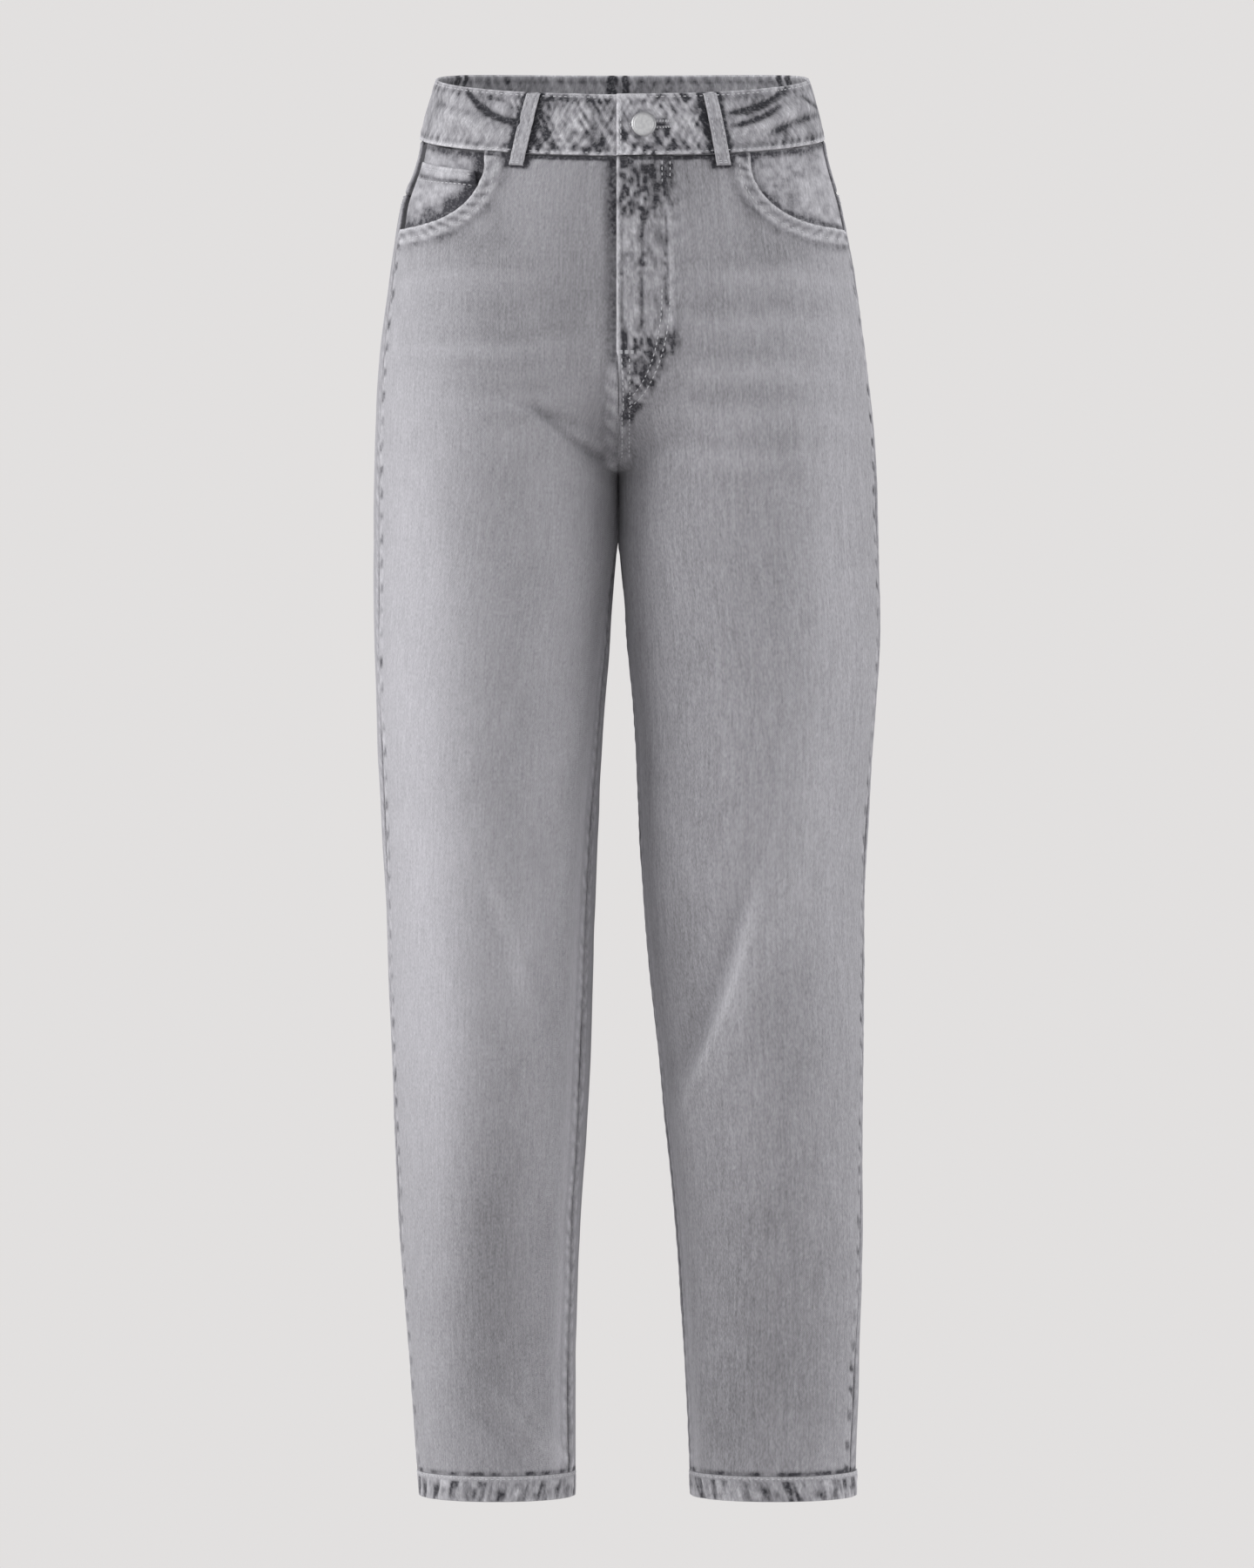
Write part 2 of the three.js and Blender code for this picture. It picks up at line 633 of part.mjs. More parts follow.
// A belt loop: a narrow strip held at the top of the waistband and below the waist seam, and a little off the
// band between.
function beltLoop({ at: place, lean }) {
  const half = BELT_LOOP.width / 2;
  const top = WAISTBAND.height - BELT_LOOP.topGap;
  return clothWall(
    (u, v) => {
      const at = place + lean * (1 - v) + THREE.MathUtils.lerp(-half, half, u);
      const above = THREE.MathUtils.lerp(top, -BELT_LOOP.below, v);
      const rest = BELT_LOOP.off + WAISTBAND.proud * smooth(-4, 0, above);
      const out = rest + BELT_LOOP.bow * Math.sin(Math.PI * v) ** 0.8;
      return { outer: waistPoint(at, above, out + BELT_LOOP.wall), inner: waistPoint(at, above, out) };
    },
    2,
    10,
  );
}

// A strip behind the fly, between two places across the front. The zip tape lies nearest the fronts.
function flyStrip(from, to, bottomZ, layers, columns, rows, wall) {
  const side = "left";
  return sideWall(
    side,
    (u, v) => {
      const z = THREE.MathUtils.lerp(waistLine(side, -Math.PI), bottomZ, v);
      const angle = angleAcross(side, z, THREE.MathUtils.lerp(from, to, u), -1);
      return { angle, z, out: -layers * LAYER };
    },
    columns,
    rows,
    wall,
  );
}

// The turned-up hem, as one ring round the end of a leg.
function hem(side) {
  const columns = 40;
  const rows = 2;
  const direction = side === "left" ? 1 : -1;
  return clothWall(
    (u, v) => {
      const angle = direction * (2 * u - 1) * Math.PI;
      const z = HEM_Z + HEM_HEIGHT * (1 - v);
      return {
        outer: formPoint(side, angle, z, HEM_PROUD),
        inner: formPoint(side, angle, z, HEM_PROUD - HEM_WALL),
      };
    },
    columns,
    rows,
    true,
  );
}

// The pieces
for (const side of ["right", "left"]) {
  add(`front_${side}`, frontPanel(side), DENIM);
  add(`back_${side}`, backPanel(side), DENIM);
  add(`yoke_${side}`, backYoke(side), DENIM);
  add(`hem_${side}`, hem(side), WORN_DENIM);
  add(`back_pocket_${side}`, backPocket(side), DENIM);
}
add("pocket_facing_right", pocketPiece("right", 80, 0, -92, 2.4, 0, 8, 5), DENIM);
add("pocket_facing_left", pocketPiece("left", 80, 0, -92, 1, 0, 8, 5), DENIM);
add("coin_pocket", pocketPiece("right", 100, 13, -85, 1.1, 7, 6, 4), DENIM);
add("waistband", waistband(), WORN_DENIM);
add("zip_tape", flyStrip(-12, 16, -142, 1.2, 2, 8, 0.9), TAPE);
add("fly_shield", flyStrip(-14, 30, -158, 2.2, 4, 8, CLOTH), DENIM);
add("button", button(), METAL);

for (const [name, place] of Object.entries(LOOP_PLACES)) {
  add(`belt_loop_${name}`, beltLoop(place), WORN_DENIM);
}

export default jeans;
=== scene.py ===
# %% [markdown]
# # Grey washed barrel jeans, filled out as if worn
# The real thing is a pair of high-waisted jeans: two fronts, two backs, two yokes, a waistband, pockets,
# belt loops and hems, all cut from one grey denim and washed after sewing. Washing rubs every ridge pale
# and leaves every valley dark. Besides that, shade is painted into the colour in creases, seam valleys,
# under the waistband and beside the belt loops, and light and highlights are painted on the legs. The
# imported model gives each piece as a rigid solid. Here each piece is remade as fine cloth in the same place.

# %% Load the imported model
import math
from types import SimpleNamespace

import bpy
import numpy as np
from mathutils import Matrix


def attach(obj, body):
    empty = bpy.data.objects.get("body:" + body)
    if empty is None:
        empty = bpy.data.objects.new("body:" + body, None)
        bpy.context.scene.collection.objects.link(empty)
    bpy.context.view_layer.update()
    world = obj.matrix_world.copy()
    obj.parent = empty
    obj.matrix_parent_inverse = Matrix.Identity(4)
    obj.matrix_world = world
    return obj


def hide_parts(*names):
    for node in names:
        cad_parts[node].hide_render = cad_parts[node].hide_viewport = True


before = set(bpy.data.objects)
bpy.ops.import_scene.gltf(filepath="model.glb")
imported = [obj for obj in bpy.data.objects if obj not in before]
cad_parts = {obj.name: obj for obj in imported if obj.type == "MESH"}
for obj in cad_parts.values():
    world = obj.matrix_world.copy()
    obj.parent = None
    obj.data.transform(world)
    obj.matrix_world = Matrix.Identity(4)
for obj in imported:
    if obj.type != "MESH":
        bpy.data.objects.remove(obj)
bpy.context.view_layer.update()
MM = 0.001

# %% [markdown]
# The camera stands five metres in front, level with the middle of the jeans. From so far off the lens
# flattens the form as a studio photograph does. The sensor is fitted to the picture's height, so the
# frame's height is exact.

# %% Camera
VIEW_DISTANCE = 5.0
VIEW_HEIGHT = 1.098
VIEW_ACROSS = 0.0061
VIEW_LEVEL = -0.462
SENSOR = 24.0

camera_data = bpy.data.cameras.new("camera")
camera_data.sensor_fit = "VERTICAL"
camera_data.sensor_height = SENSOR
camera_data.lens = SENSOR * VIEW_DISTANCE / VIEW_HEIGHT
camera = bpy.data.objects.new("camera", camera_data)
camera.location = (VIEW_ACROSS, -VIEW_DISTANCE, VIEW_LEVEL)
camera.rotation_euler = (math.pi / 2, 0, 0)
bpy.context.scene.collection.objects.link(camera)
bpy.context.scene.camera = camera
print("lens:", round(camera_data.lens, 1), "mm")

# %% [markdown]
# ## The form
# A garment's form can be sculpted, draped or worked out. Here it is worked out: level sections give the
# outline at each height, so every piece, seam and stitch can ask the same functions where the cloth is. All
# of it is in millimetres, and becomes metres only when a mesh is made. Round the hips a section is one
# squarish oval. Below the crotch it is an oval for each leg, and between the two the ovals flow into each
# other.

# %% Sizes of the garment in millimetres
CLOTH = 1.2
SEAM_GAP = 0.3
LAYER = CLOTH + SEAM_GAP
CROTCH_Z = -245.0
CLEFT = SimpleNamespace(top_z=-140.0, square=2.6, soft=2.5, reach=22.0)
PARTED = SimpleNamespace(z=-322.0, tall=26.0, wide=14.0, depth=2.6)
HEM = SimpleNamespace(z=-961.0, height=18.0, wall=2.6, proud=0.7, radius=62.0)
BAND = SimpleNamespace(height=43.0, wall=2.4, proud=0.6, lap=38.0, lap_rise=1.5, lap_fade=26.0)
WAIST_LINE = SimpleNamespace(side=-10.5, rise=16.0, dip=4.5)
LEVEL_Z = -120.0
FLY = SimpleNamespace(
    width=37.0, overlap=1.2, rise=1.6, straight_z=-126.0, end_z=-205.0, overlap_end_z=-166.0
)
SCOOP = SimpleNamespace(centre=150.0, half_width=59.0, bottom_z=-76.0, top_z=-34.0, radius=52.0)
GAPE = SimpleNamespace(z=-47.0, tall=16.0, inside=2.0, wide=6.5, depth=4.5)
FACING = SimpleNamespace(inner=80.0, top=0.0, bottom_z=-92.0, side_turn=0.0)
YOKE = SimpleNamespace(at_side=36.0, at_back=70.0)
BACK_POCKET = SimpleNamespace(
    turned=0.5, inner=-32.0, width=132.0, top_z=-84.0, drop=5.0, height=128.0, taper=9.0, tip=20.0
)
COIN_POCKET = SimpleNamespace(inner=100.0, top=13.0, bottom_z=-85.0, side_turn=0.07)
POCKET_EASE = 0.75
LOOP = SimpleNamespace(width=10.0, wall=1.8, below=8.5, bow=1.6, off=0.9, top_gap=1.0)
BUTTON = SimpleNamespace(at=17.0, half_way=21.5, pale=6.3, rim=8.2)
BUTTONHOLE = SimpleNamespace(middle=23.0, half=11.0)

SECTION_COLUMNS = ("z", "right", "left", "right_in", "left_in", "middle", "front", "back", "hips", "leg")
SECTIONS = (
    (52, 121, 127, 0, 0, 2, 96, 98, 2.15, 2),
    (8, 134, 140, 0, 0, 2, 99, 100, 2.15, 2),
    (-29, 142, 148, 0, 0, 2, 102, 107, 2.25, 2),
    (-62, 153, 157, 0, 0, 2, 106, 117, 2.35, 2),
    (-108, 160, 166, 0, 0, 2, 109, 126, 2.5, 2),
    (-169, 167, 174, 0, 0, 1, 109, 129, 2.65, 2),
    (-230, 171, 180, 0, 0, -1, 103, 119, 2.7, 2),
    (-291, 171.5, 182, 0, 0, -2, 99, 109, 2.7, 2),
    (-352, 171, 183, 5, 5, -3, 97, 102, 2.7, 2.05),
    (-413, 169, 180, 10, 11, -3, 94, 98, 2.7, 2.1),
    (-535, 163.5, 172.5, 16, 17, 0, 89, 91, 2.7, 2.1),
    (-657, 158.5, 172, 20, 29, 4, 83, 85, 2.7, 2.1),
    (-779, 153, 171.5, 27, 41, 10, 72, 74, 2.7, 2.1),
    (-870, 146.5, 168.5, 30, 47, 13, 62, 64, 2.7, 2.05),
    (-961, 139.5, 167, 30.5, 51, 14, 54, 55, 2.7, 2),
)
SEAM_COLUMNS = ("z", "right_side", "left_side", "right_inseam", "left_inseam")
SEAM_LINES = (
    (52, 12, 10, 0, 0),
    (-245, 20, 11, 0, 0),
    (-400, 19, 11, 16, 6),
    (-657, 14, 12, 26, 7),
    (-961, 7, 24, 23, 7),
)

# %% Sections as smooth functions of height


def smooth(low, high, value):
    """A soft step from 0 at low to 1 at high."""
    t = np.clip((value - low) / (high - low), 0, 1)
    return t * t * (3 - 2 * t)


def bump(value, width):
    """1 where value is 0, falling off softly over the width."""
    return np.exp(-((value / width) ** 2))


def signed_power(base, power):
    return np.sign(base) * np.abs(base) ** power


def columns(names, rows):
    """Each column of a table as a smooth function of z that never overshoots its rows."""
    table = np.array(sorted(rows), dtype=float)
    heights = table[:, 0]

    def one(values):
        slopes = np.diff(values) / np.diff(heights)
        before, after = slopes[:-1], slopes[1:]
        same_way = before * after > 0
        total = np.where(same_way, before + after, 1.0)
        inner = np.where(same_way, 2 * before * after / total, 0.0)
        tangents = np.concatenate(([slopes[0]], inner, [slopes[-1]]))

        def at(z):
            z = np.clip(z, heights[0], heights[-1])
            i = np.clip(np.searchsorted(heights, z, side="right") - 1, 0, len(heights) - 2)
            step = heights[i + 1] - heights[i]
            t = (z - heights[i]) / step
            ends = values[i] * (1 + 2 * t) * (1 - t) ** 2 + values[i + 1] * t * t * (3 - 2 * t)
            return ends + step * t * (1 - t) * (tangents[i] * (1 - t) - tangents[i + 1] * t)

        return at

    return {name: one(table[:, i]) for i, name in enumerate(names)}


form = columns(SECTION_COLUMNS, SECTIONS)
seam_line = columns(SEAM_COLUMNS, SEAM_LINES)


def section(side, z):
    """The level section of one side. rounded, softened and parted tell how far it has become a leg's oval."""
    outer = form[side](z)
    inner = form[f"{side}_in"](z)
    drop = np.clip((CLEFT.top_z - z) / (CLEFT.top_z - CROTCH_Z), 0, 1)
    return SimpleNamespace(
        outer=outer,
        inner=inner,
        centre=(outer + inner) / 2,
        half=(outer - inner) / 2,
        middle=form["middle"](z),
        front=form["front"](z),
        back=form["back"](z),
        hips=form["hips"](z),
        leg=form["leg"](z),
        rounded=smooth(0, 1, drop),
        softened=smooth(0, 1, drop) ** CLEFT.soft,
        parted=1 - (1 - drop**CLEFT.square) ** (1 / CLEFT.square),
    )


def depth_share(s, across):
    """How deep a section is at a place across it, as a share of its full depth."""
    of_hips = signed_power(1 - np.abs(across / s.outer) ** s.hips, 1 / s.hips)
    of_leg = signed_power(1 - np.abs((across - s.centre) / s.half) ** s.leg, 1 / s.leg)
    near_middle = np.clip(1 - across / s.centre, 0, 1) ** 2
    at_arch = np.clip(1 - across / CLEFT.reach, 0, 1) ** 2
    inside = s.softened + (s.parted - s.softened) * at_arch
    share = s.rounded + (inside - s.rounded) * near_middle
    return of_hips + (of_leg - of_hips) * share


def plain_point(side, angle, z):
    """A point of the smooth form: angle 0 is outermost, below 0 is the front, a half turn is innermost."""
    angle, z = np.broadcast_arrays(np.asarray(angle, float), np.asarray(z, float))
    s = section(side, z)
    past = np.where(z > CROTCH_Z, np.maximum(0, np.abs(angle) - np.pi), 0)
    turn = np.sign(angle) * (np.abs(angle) - past)
    across = s.centre + s.half * signed_power(np.cos(turn), 2 / s.leg)
    in_front = np.where(past > 0, angle < 0, np.sin(turn) < 0)
    depth = np.maximum(0, depth_share(s, across)) * np.where(in_front, -s.front, s.back)
    x = across - past * s.half
    return np.stack([x if side == "left" else -x, s.middle + depth, z], axis=-1)


def level(side, x, y, z):
    """Above 0 outside the form and below 0 inside it."""
    s = section(side, z)
    across = np.maximum(x if side == "left" else -x, s.inner)
    along = np.abs(y - s.middle) / np.where(y < s.middle, s.front, s.back)
    return along**s.leg - signed_power(depth_share(s, across), s.leg)


def outward(side, p):
    """The direction straight out of the form at each point."""
    step = 0.5
    inner = section(side, p[..., 2]).inner + step
    x = np.maximum(p[..., 0], inner) if side == "left" else np.minimum(p[..., 0], -inner)
    y, z = p[..., 1], p[..., 2]
    away = np.stack(
        [
            level(side, x + step, y, z) - level(side, x - step, y, z),
            level(side, x, y + step, z) - level(side, x, y - step, z),
            level(side, x, y, z + step) - level(side, x, y, z - step),
        ],
        axis=-1,
    )
    return away / np.linalg.norm(away, axis=-1, keepdims=True)


print("hips at crotch height:", round(float(form["left"](CROTCH_Z) + form["right"](CROTCH_Z))), "mm across")

# %% [markdown]
# ## Seams as angles
# A panel is the stretch of the form between two seams. Each seam is an angle round the leg at each height,
# apart from the rise seams, which lie in the middle plane. The waist seam is the other way round: a height
# at each angle, because the waistband sits higher at the back than at the front.

# %% Where the seams run


def seam_turn(z):
    """Half a seam gap as an angle."""
    return SEAM_GAP / 2 / form["front"](z)


def side_seam(side, z):
    return -np.radians(seam_line[f"{side}_side"](z))


def angle_across(side, z, across, towards):
    """The angle at which a section passes a place across the front (-1) or the back (1)."""
    s = section(side, z)
    share = np.clip((across - s.centre) / s.half, -1, 1)
    beyond = np.pi + (s.inner - across) / s.half
    return towards * np.where(across < s.inner, beyond, np.arccos(signed_power(share, s.leg / 2)))


def inner_edge(side, z, towards, across=SEAM_GAP / 2):
    """The rise seam above the crotch, and the inner leg seam below it."""
    rise = angle_across(side, z, across, towards)
    inseam = towards * (np.pi - seam_turn(z)) + np.radians(seam_line[f"{side}_inseam"](z))
    return np.where(z > CROTCH_Z, rise, inseam)


def waist_line(side, angle):
    """The waist seam's height at an angle."""
    s = section(side, WAIST_LINE.side)
    y = plain_point(side, angle, WAIST_LINE.side)[..., 1]
    facing = (y - s.middle) / np.where(np.asarray(angle) < 0, s.front, s.back)
    return WAIST_LINE.side + WAIST_LINE.rise * facing - WAIST_LINE.dip * facing**2


def yoke_line(side, angle, share):
    """The yoke seam's height, share running from the side seam to the middle back."""
    return waist_line(side, angle) - (YOKE.at_side + (YOKE.at_back - YOKE.at_side) * share)


def settled(angle_at, height_at, shape):
    """An angle and a height that each depend on the other."""
    z = np.full(shape, WAIST_LINE.side)
    for _ in range(5):
        angle = angle_at(z)
        z = height_at(angle)
    return angle_at(z), z


def way_round(side, angle, z):
    """How many millimetres of cloth one radian is worth at a place."""
    s = section(side, z)
    depth = np.where(np.sin(angle) < 0, s.front, s.back)
    return np.hypot(s.half * np.sin(angle), depth * np.cos(angle))


print("side seam faces", round(float(seam_line["right_side"](-657))), "degrees forward at the knee")

# %% [markdown]
# ## Folds
# Denim is stiff, so it shows few folds, and each is a soft ridge or trough that starts where the cloth is
# pulled or squeezed. A row of the table is one fold as the eye sees it from the front, or through from the
# front onto the back. The pinches in the waistband beside the belt loops are sharp and dark, the ones down
# the legs are broad and faint. Simulated cloth would give other folds than these, so they are listed.

# %% Table of folds
FOLD_COLUMNS = ("face", "x1", "z1", "x2", "z2", "bow", "height", "width")
FOLDS = (
    # waistband pinches and the swellings beside them
    (1, -105, 18, -60, -8, -7, -3.6, 2.6),
    (1, -120, 6, -72, -17, -4, 3.2, 8),
    (1, -126, 12, -100, 1, -1, -1.2, 3),
    (1, -92, 12, -70, 4, 1, -1, 2.2),
    (1, 116, 19, 76, 0, 4, -3.6, 2.6),
    (1, 112, 7, 78, -9, 3, -2.4, 2.4),
    (1, 130, 12, 86, -12, 3, 3.2, 8),
    (1, 139, 5, 103, -14, 0, -2.2, 3.5),
    (1, 126, 16, 139, 10, 0, -1.6, 2.6),
    # drag lines that gather towards the crotch
    (1, -60, -201, -3, -241, -3, -2.6, 4.5),
    (1, -76, -200, -10, -228, -3, 1.8, 6),
    (1, -88, -192, -18, -216, -3, -1.2, 4),
    (1, -60, -216, -8, -258, -4, 1.6, 9),
    (1, 4, -240, 52, -220, 3, -1.6, 8),
    # long soft ridges down the fronts of the legs
    (1, 132, -452, 52, -692, 10, 3.6, 14),
    (1, 99, -528, 47, -682, 5, 3.0, 5.5),
    (1, 86, -540, 38, -662, 6, -2.6, 9),
    (1, 104, -470, 34, -668, 10, -2.4, 15),
    (1, -92, -490, -62, -622, 6, 2.6, 14),
    (1, -88, -528, -66, -614, 4, 1.8, 5),
    (1, -72, -572, -44, -640, 5, -1.6, 8),
    # level whiskers over the hips
    (1, -126, -96, -56, -106, 3, 1.4, 10),
    (1, 62, -112, 134, -104, 3, 1.4, 10),
    (1, -132, -168, -44, -182, 4, 1.6, 12),
    (1, 52, -184, 140, -166, 4, 1.6, 12),
    # a pull above the right hem
    (1, -88, -884, -48, -932, 2, 2.2, 5),
    (1, -66, -892, -36, -938, 2, 1.6, 4),
    (1, -100, -898, -66, -938, 2, -1.6, 6),
    # under the seat and behind the knees
    (-1, -5, -234, -104, -268, -9, -5, 12),
    (-1, 5, -234, 104, -268, 9, -5, 12),
    (-1, -20, -300, -122, -330, -7, -3, 13),
    (-1, 20, -296, 126, -328, 7, -3, 13),
    (-1, -36, -628, -138, -650, -5, -3.4, 12),
    (-1, -30, -664, -122, -692, -4, -2.6, 11),
    (-1, 44, -632, 152, -652, 5, -3.4, 12),
    (-1, 50, -672, 142, -698, 4, -2.6, 11),
)


def named_rows(names, rows):
    """The rows of a table, each with its values under their columns' names."""
    return [SimpleNamespace(**dict(zip(names, row))) for row in rows]


def beside_fold(f, p):
    """How strongly a fold acts at each point, and how far from its line the point is."""
    dx, dz = f.x2 - f.x1, f.z2 - f.z1
    length = math.hypot(dx, dz)
    along = ((p[..., 0] - f.x1) * dx + (p[..., 2] - f.z1) * dz) / length**2
    arc = f.bow * 4 * along * (1 - along)
    aside = ((p[..., 2] - f.z1) * dx - (p[..., 0] - f.x1) * dz) / length - arc
    return smooth(-0.15, 0.25, along) * (1 - smooth(0.75, 1.15, along)), aside


def fold_height(side, p):
    """How far the folds lift the cloth, in millimetres."""
    s = section(side, p[..., 2])
    facing = (s.middle - p[..., 1]) / s.front
    height = np.zeros(p.shape[:-1])
    for f in named_rows(FOLD_COLUMNS, FOLDS):
        ends, aside = beside_fold(f, p)
        height += smooth(0.1, 0.45, facing * f.face) * ends * f.height * bump(aside, f.width)
    return height


def crease_shade(p):
    """How much painted shade lies in the folds' bottoms, and below 0 how much painted highlight on their
    tops: a sharper fold shows more.
    """
    shade = np.zeros(p.shape[:-1])
    for f in named_rows(FOLD_COLUMNS, FOLDS):
        ends, aside = beside_fold(f, p)
        this_face = p[..., 1] * f.face < 0
        sharp = min(1.0, 0.9 * abs(f.height) / f.width) ** 1.5 * (1 if f.height < 0 else -0.85)
        shade += this_face * ends * bump(aside, 0.75 * f.width) * sharp
    return shade


def form_point(side, angle, z, out=0.0):
    """A point of the folded cloth, moved out by a distance. Below the fly neither side passes the middle."""
    p = plain_point(side, angle, z)
    away = outward(side, p)
    fold = away * fold_height(side, p)[..., None]
    close = smooth(0, 12, np.abs(p[..., 0]))
    fold[..., 0] *= np.where(p[..., 2] > CROTCH_Z, close, 1)
    q = p + fold + away * np.asarray(out, float)[..., None]
    below_fly = p[..., 2] < FLY.overlap_end_z
    inner = np.maximum(q[..., 0], 0) if side == "left" else np.minimum(q[..., 0], 0)
    q[..., 0] = np.where(below_fly, inner, q[..., 0])
    return q


print("folds:", len(FOLDS))

# %% [markdown]
# ## From a grid of points to a piece of cloth
# Each piece is a grid of points, wide enough apart to stay light and close enough for its puckers. A corner
# can be cut out of a grid along any curve: faces that the curve crosses are split there, so that the edge
# is clean. Three facts travel with every point for the material to read: where it lies on the flat cloth
# (grain), how far washing has bleached it together with the light and shade painted on it
# (wash), and how far it is rubbed pale or darkened, by wear and washing and by painted
# shade and highlight (rub).
# The Solidify modifier gives the cloth its thickness, which keeps the grid simple.

# %% Ripples that never repeat


def lattice(i, j, seed):
    value = np.sin(i * 127.1 + j * 311.7 + seed * 74.7) * 43758.5453
    return value - np.floor(value)


def soft_noise(a, b, seed=0):
    """A smooth random surface between -1 and 1, with one swell to each unit of a and b."""
    i, j = np.floor(a), np.floor(b)
    s, t = a - i, b - j
    s, t = s * s * (3 - 2 * s), t * t * (3 - 2 * t)
    low = lattice(i, j, seed) * (1 - s) + lattice(i + 1, j, seed) * s
    high = lattice(i, j + 1, seed) * (1 - s) + lattice(i + 1, j + 1, seed) * s
    return (low * (1 - t) + high * t) * 2 - 1


def ripples(along, away, period, seed=0, lean=0.6):
    """Slanting puckers along a seam: along and away are distances along it and from it."""
    drift = 0.45 * period * soft_noise(along / (period * 1.7), away / 25, seed)
    strength = 0.65 + 0.35 * soft_noise(along / (period * 2.3) + 40, away / 18, seed + 5)
    return np.sin(2 * np.pi * (along + lean * away + drift) / period) * strength


# %% Building the mesh of a piece
PIECES = {}
GRAIN_SHIFT = 0.37


def distances(points):
    """How far each point of a grid lies along its row and down its column."""
    along_row = np.linalg.norm(np.diff(points, axis=1), axis=-1)
    down_column = np.linalg.norm(np.diff(points, axis=0), axis=-1)
    rows, cols = points.shape[:2]
    across = np.concatenate([np.zeros((rows, 1)), np.cumsum(along_row, axis=1)], axis=1)
    down = np.concatenate([np.zeros((1, cols)), np.cumsum(down_column, axis=0)], axis=0)
    return across, down


def grid_faces(rows, cols, around=False):
    """Four corners a face. Seen from outside, columns run to the right and rows run down."""
    i = np.arange(rows - 1)[:, None] * cols
    j = np.arange(cols if around else cols - 1)[None, :]
    following = (j + 1) % cols
    corners = np.stack([i + j, i + cols + j, i + cols + following, i + following], axis=-1)
    return corners.reshape(-1, 4).tolist()


def cut_away(data, faces, keep):
    """Keeps the part where keep is above 0. data holds one row of values for each point."""
    values = list(data)
    crossings = {}

    def crossing(a, b):
        key = (min(a, b), max(a, b))
        if key not in crossings:
            share = keep[a] / (keep[a] - keep[b])
            crossings[key] = len(values)
            values.append(data[a] + (data[b] - data[a]) * share)
        return crossings[key]

    kept = []
    for face in faces:
        inside = [keep[v] >= 0 for v in face]
        if all(inside):
            kept.append(face)
            continue
        if not any(inside):
            continue
        corners = []
        for k, v in enumerate(face):
            following = face[(k + 1) % len(face)]
            if keep[v] >= 0:
                corners.append(v)
            if (keep[v] >= 0) != (keep[following] >= 0):
                corners.append(crossing(v, following))
        if len(set(corners)) > 2:
            kept.append(corners)
    used = sorted({v for face in kept for v in face})
    renumber = {old: new for new, old in enumerate(used)}
    return np.array([values[v] for v in used]), [[renumber[v] for v in face] for face in kept]


def area_of(points):
    """The area of a grid in square millimetres."""
    a = points[1:, 1:] - points[:-1, :-1]
    b = points[1:, :-1] - points[:-1, 1:]
    return float(np.linalg.norm(np.cross(a, b), axis=-1).sum() / 2)


def make_cloth(name, points, node, finish, slot, **more):
    """One piece of cloth from a grid of points in millimetres."""
    rows, cols = points.shape[:2]
    around = more.get("around", False)
    across, down = distances(points)
    from_middle = across - across[:, cols // 2][:, None]
    zero = np.zeros((rows, cols))
    layers = [
        points,
        from_middle[..., None],
        -down[..., None],
        (zero + more.get("wash", 0))[..., None],
        (zero + more.get("rub", 0))[..., None],
    ]
    data = np.concatenate(layers, axis=-1).reshape(rows * cols, -1)
    faces = grid_faces(rows, cols, around)
    if "keep" in more:
        data, faces = cut_away(data, faces, more["keep"].reshape(-1))
    mesh = bpy.data.meshes.new(name)
    mesh.from_pydata((data[:, :3] * MM).tolist(), [], faces)
    grain_layer = mesh.attributes.new("grain", "FLOAT_VECTOR", "POINT")
    flat_grain = np.zeros((len(data), 3))
    flat_grain[:, :2] = data[:, 3:5] * MM
    flat_grain[:, 2] = len(PIECES) * GRAIN_SHIFT
    grain_layer.data.foreach_set("vector", flat_grain.ravel())
    for key, index in (("wash", 5), ("rub", 6)):
        layer = mesh.attributes.new(key, "FLOAT", "POINT")
        layer.data.foreach_set("value", data[:, index])
    mesh.polygons.foreach_set("use_smooth", [True] * len(mesh.polygons))
    mesh.update()
    piece = bpy.data.objects.new(name, mesh)
    bpy.context.scene.collection.objects.link(piece)
    wall = more.get("wall", CLOTH)
    thicken = piece.modifiers.new("thickness", "SOLIDIFY")
    thicken.thickness = wall * MM
    thicken.offset = -1
    thicken.use_even_offset = False
    mesh.materials.append(finish)
    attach(piece, "root")
    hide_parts(node)
    width = float(across[:, -1].max()) * MM
    length = float(down[-1].mean()) * MM
    area = area_of(points) * MM * MM
    PIECES[name] = piece
    size = f"{width * 1000:.0f} x {length * 1000:.0f} mm, {area * 1e4:.0f} cm2"
    print(f"{name}: {len(faces)} faces, flat {size}")


# %% [markdown]
# ## Materials
# Washed denim has three scales of detail. Closest is the twill, fine slanting ribs of pale and dark yarn.
# Then come the slubs, thicker stretches of the upright yarns, which show as short soft upright streaks.
# Largest is the wash: bleached thighs, dark valleys beside seams and pale ridges on them, with painted light,
# shade and highlights mixed in. The first two are node groups, so that every denim material can use them at
# its own strength. The washing, the rubbing and the painted light and shade come with the mesh, because they
# belong to places on the garment and not to the yarn.

# %% Helpers for node trees


def new_group(name, inputs, outputs):
    """A node group with the named inputs and outputs and nothing in it yet."""
    tree = bpy.data.node_groups.new(name, "ShaderNodeTree")
    for label, kind, value in inputs:
        socket = tree.interface.new_socket(label, in_out="INPUT", socket_type=kind)
        if value is not None:
            socket.default_value = value
    for label, kind in outputs:
        tree.interface.new_socket(label, in_out="OUTPUT", socket_type=kind)
    return tree


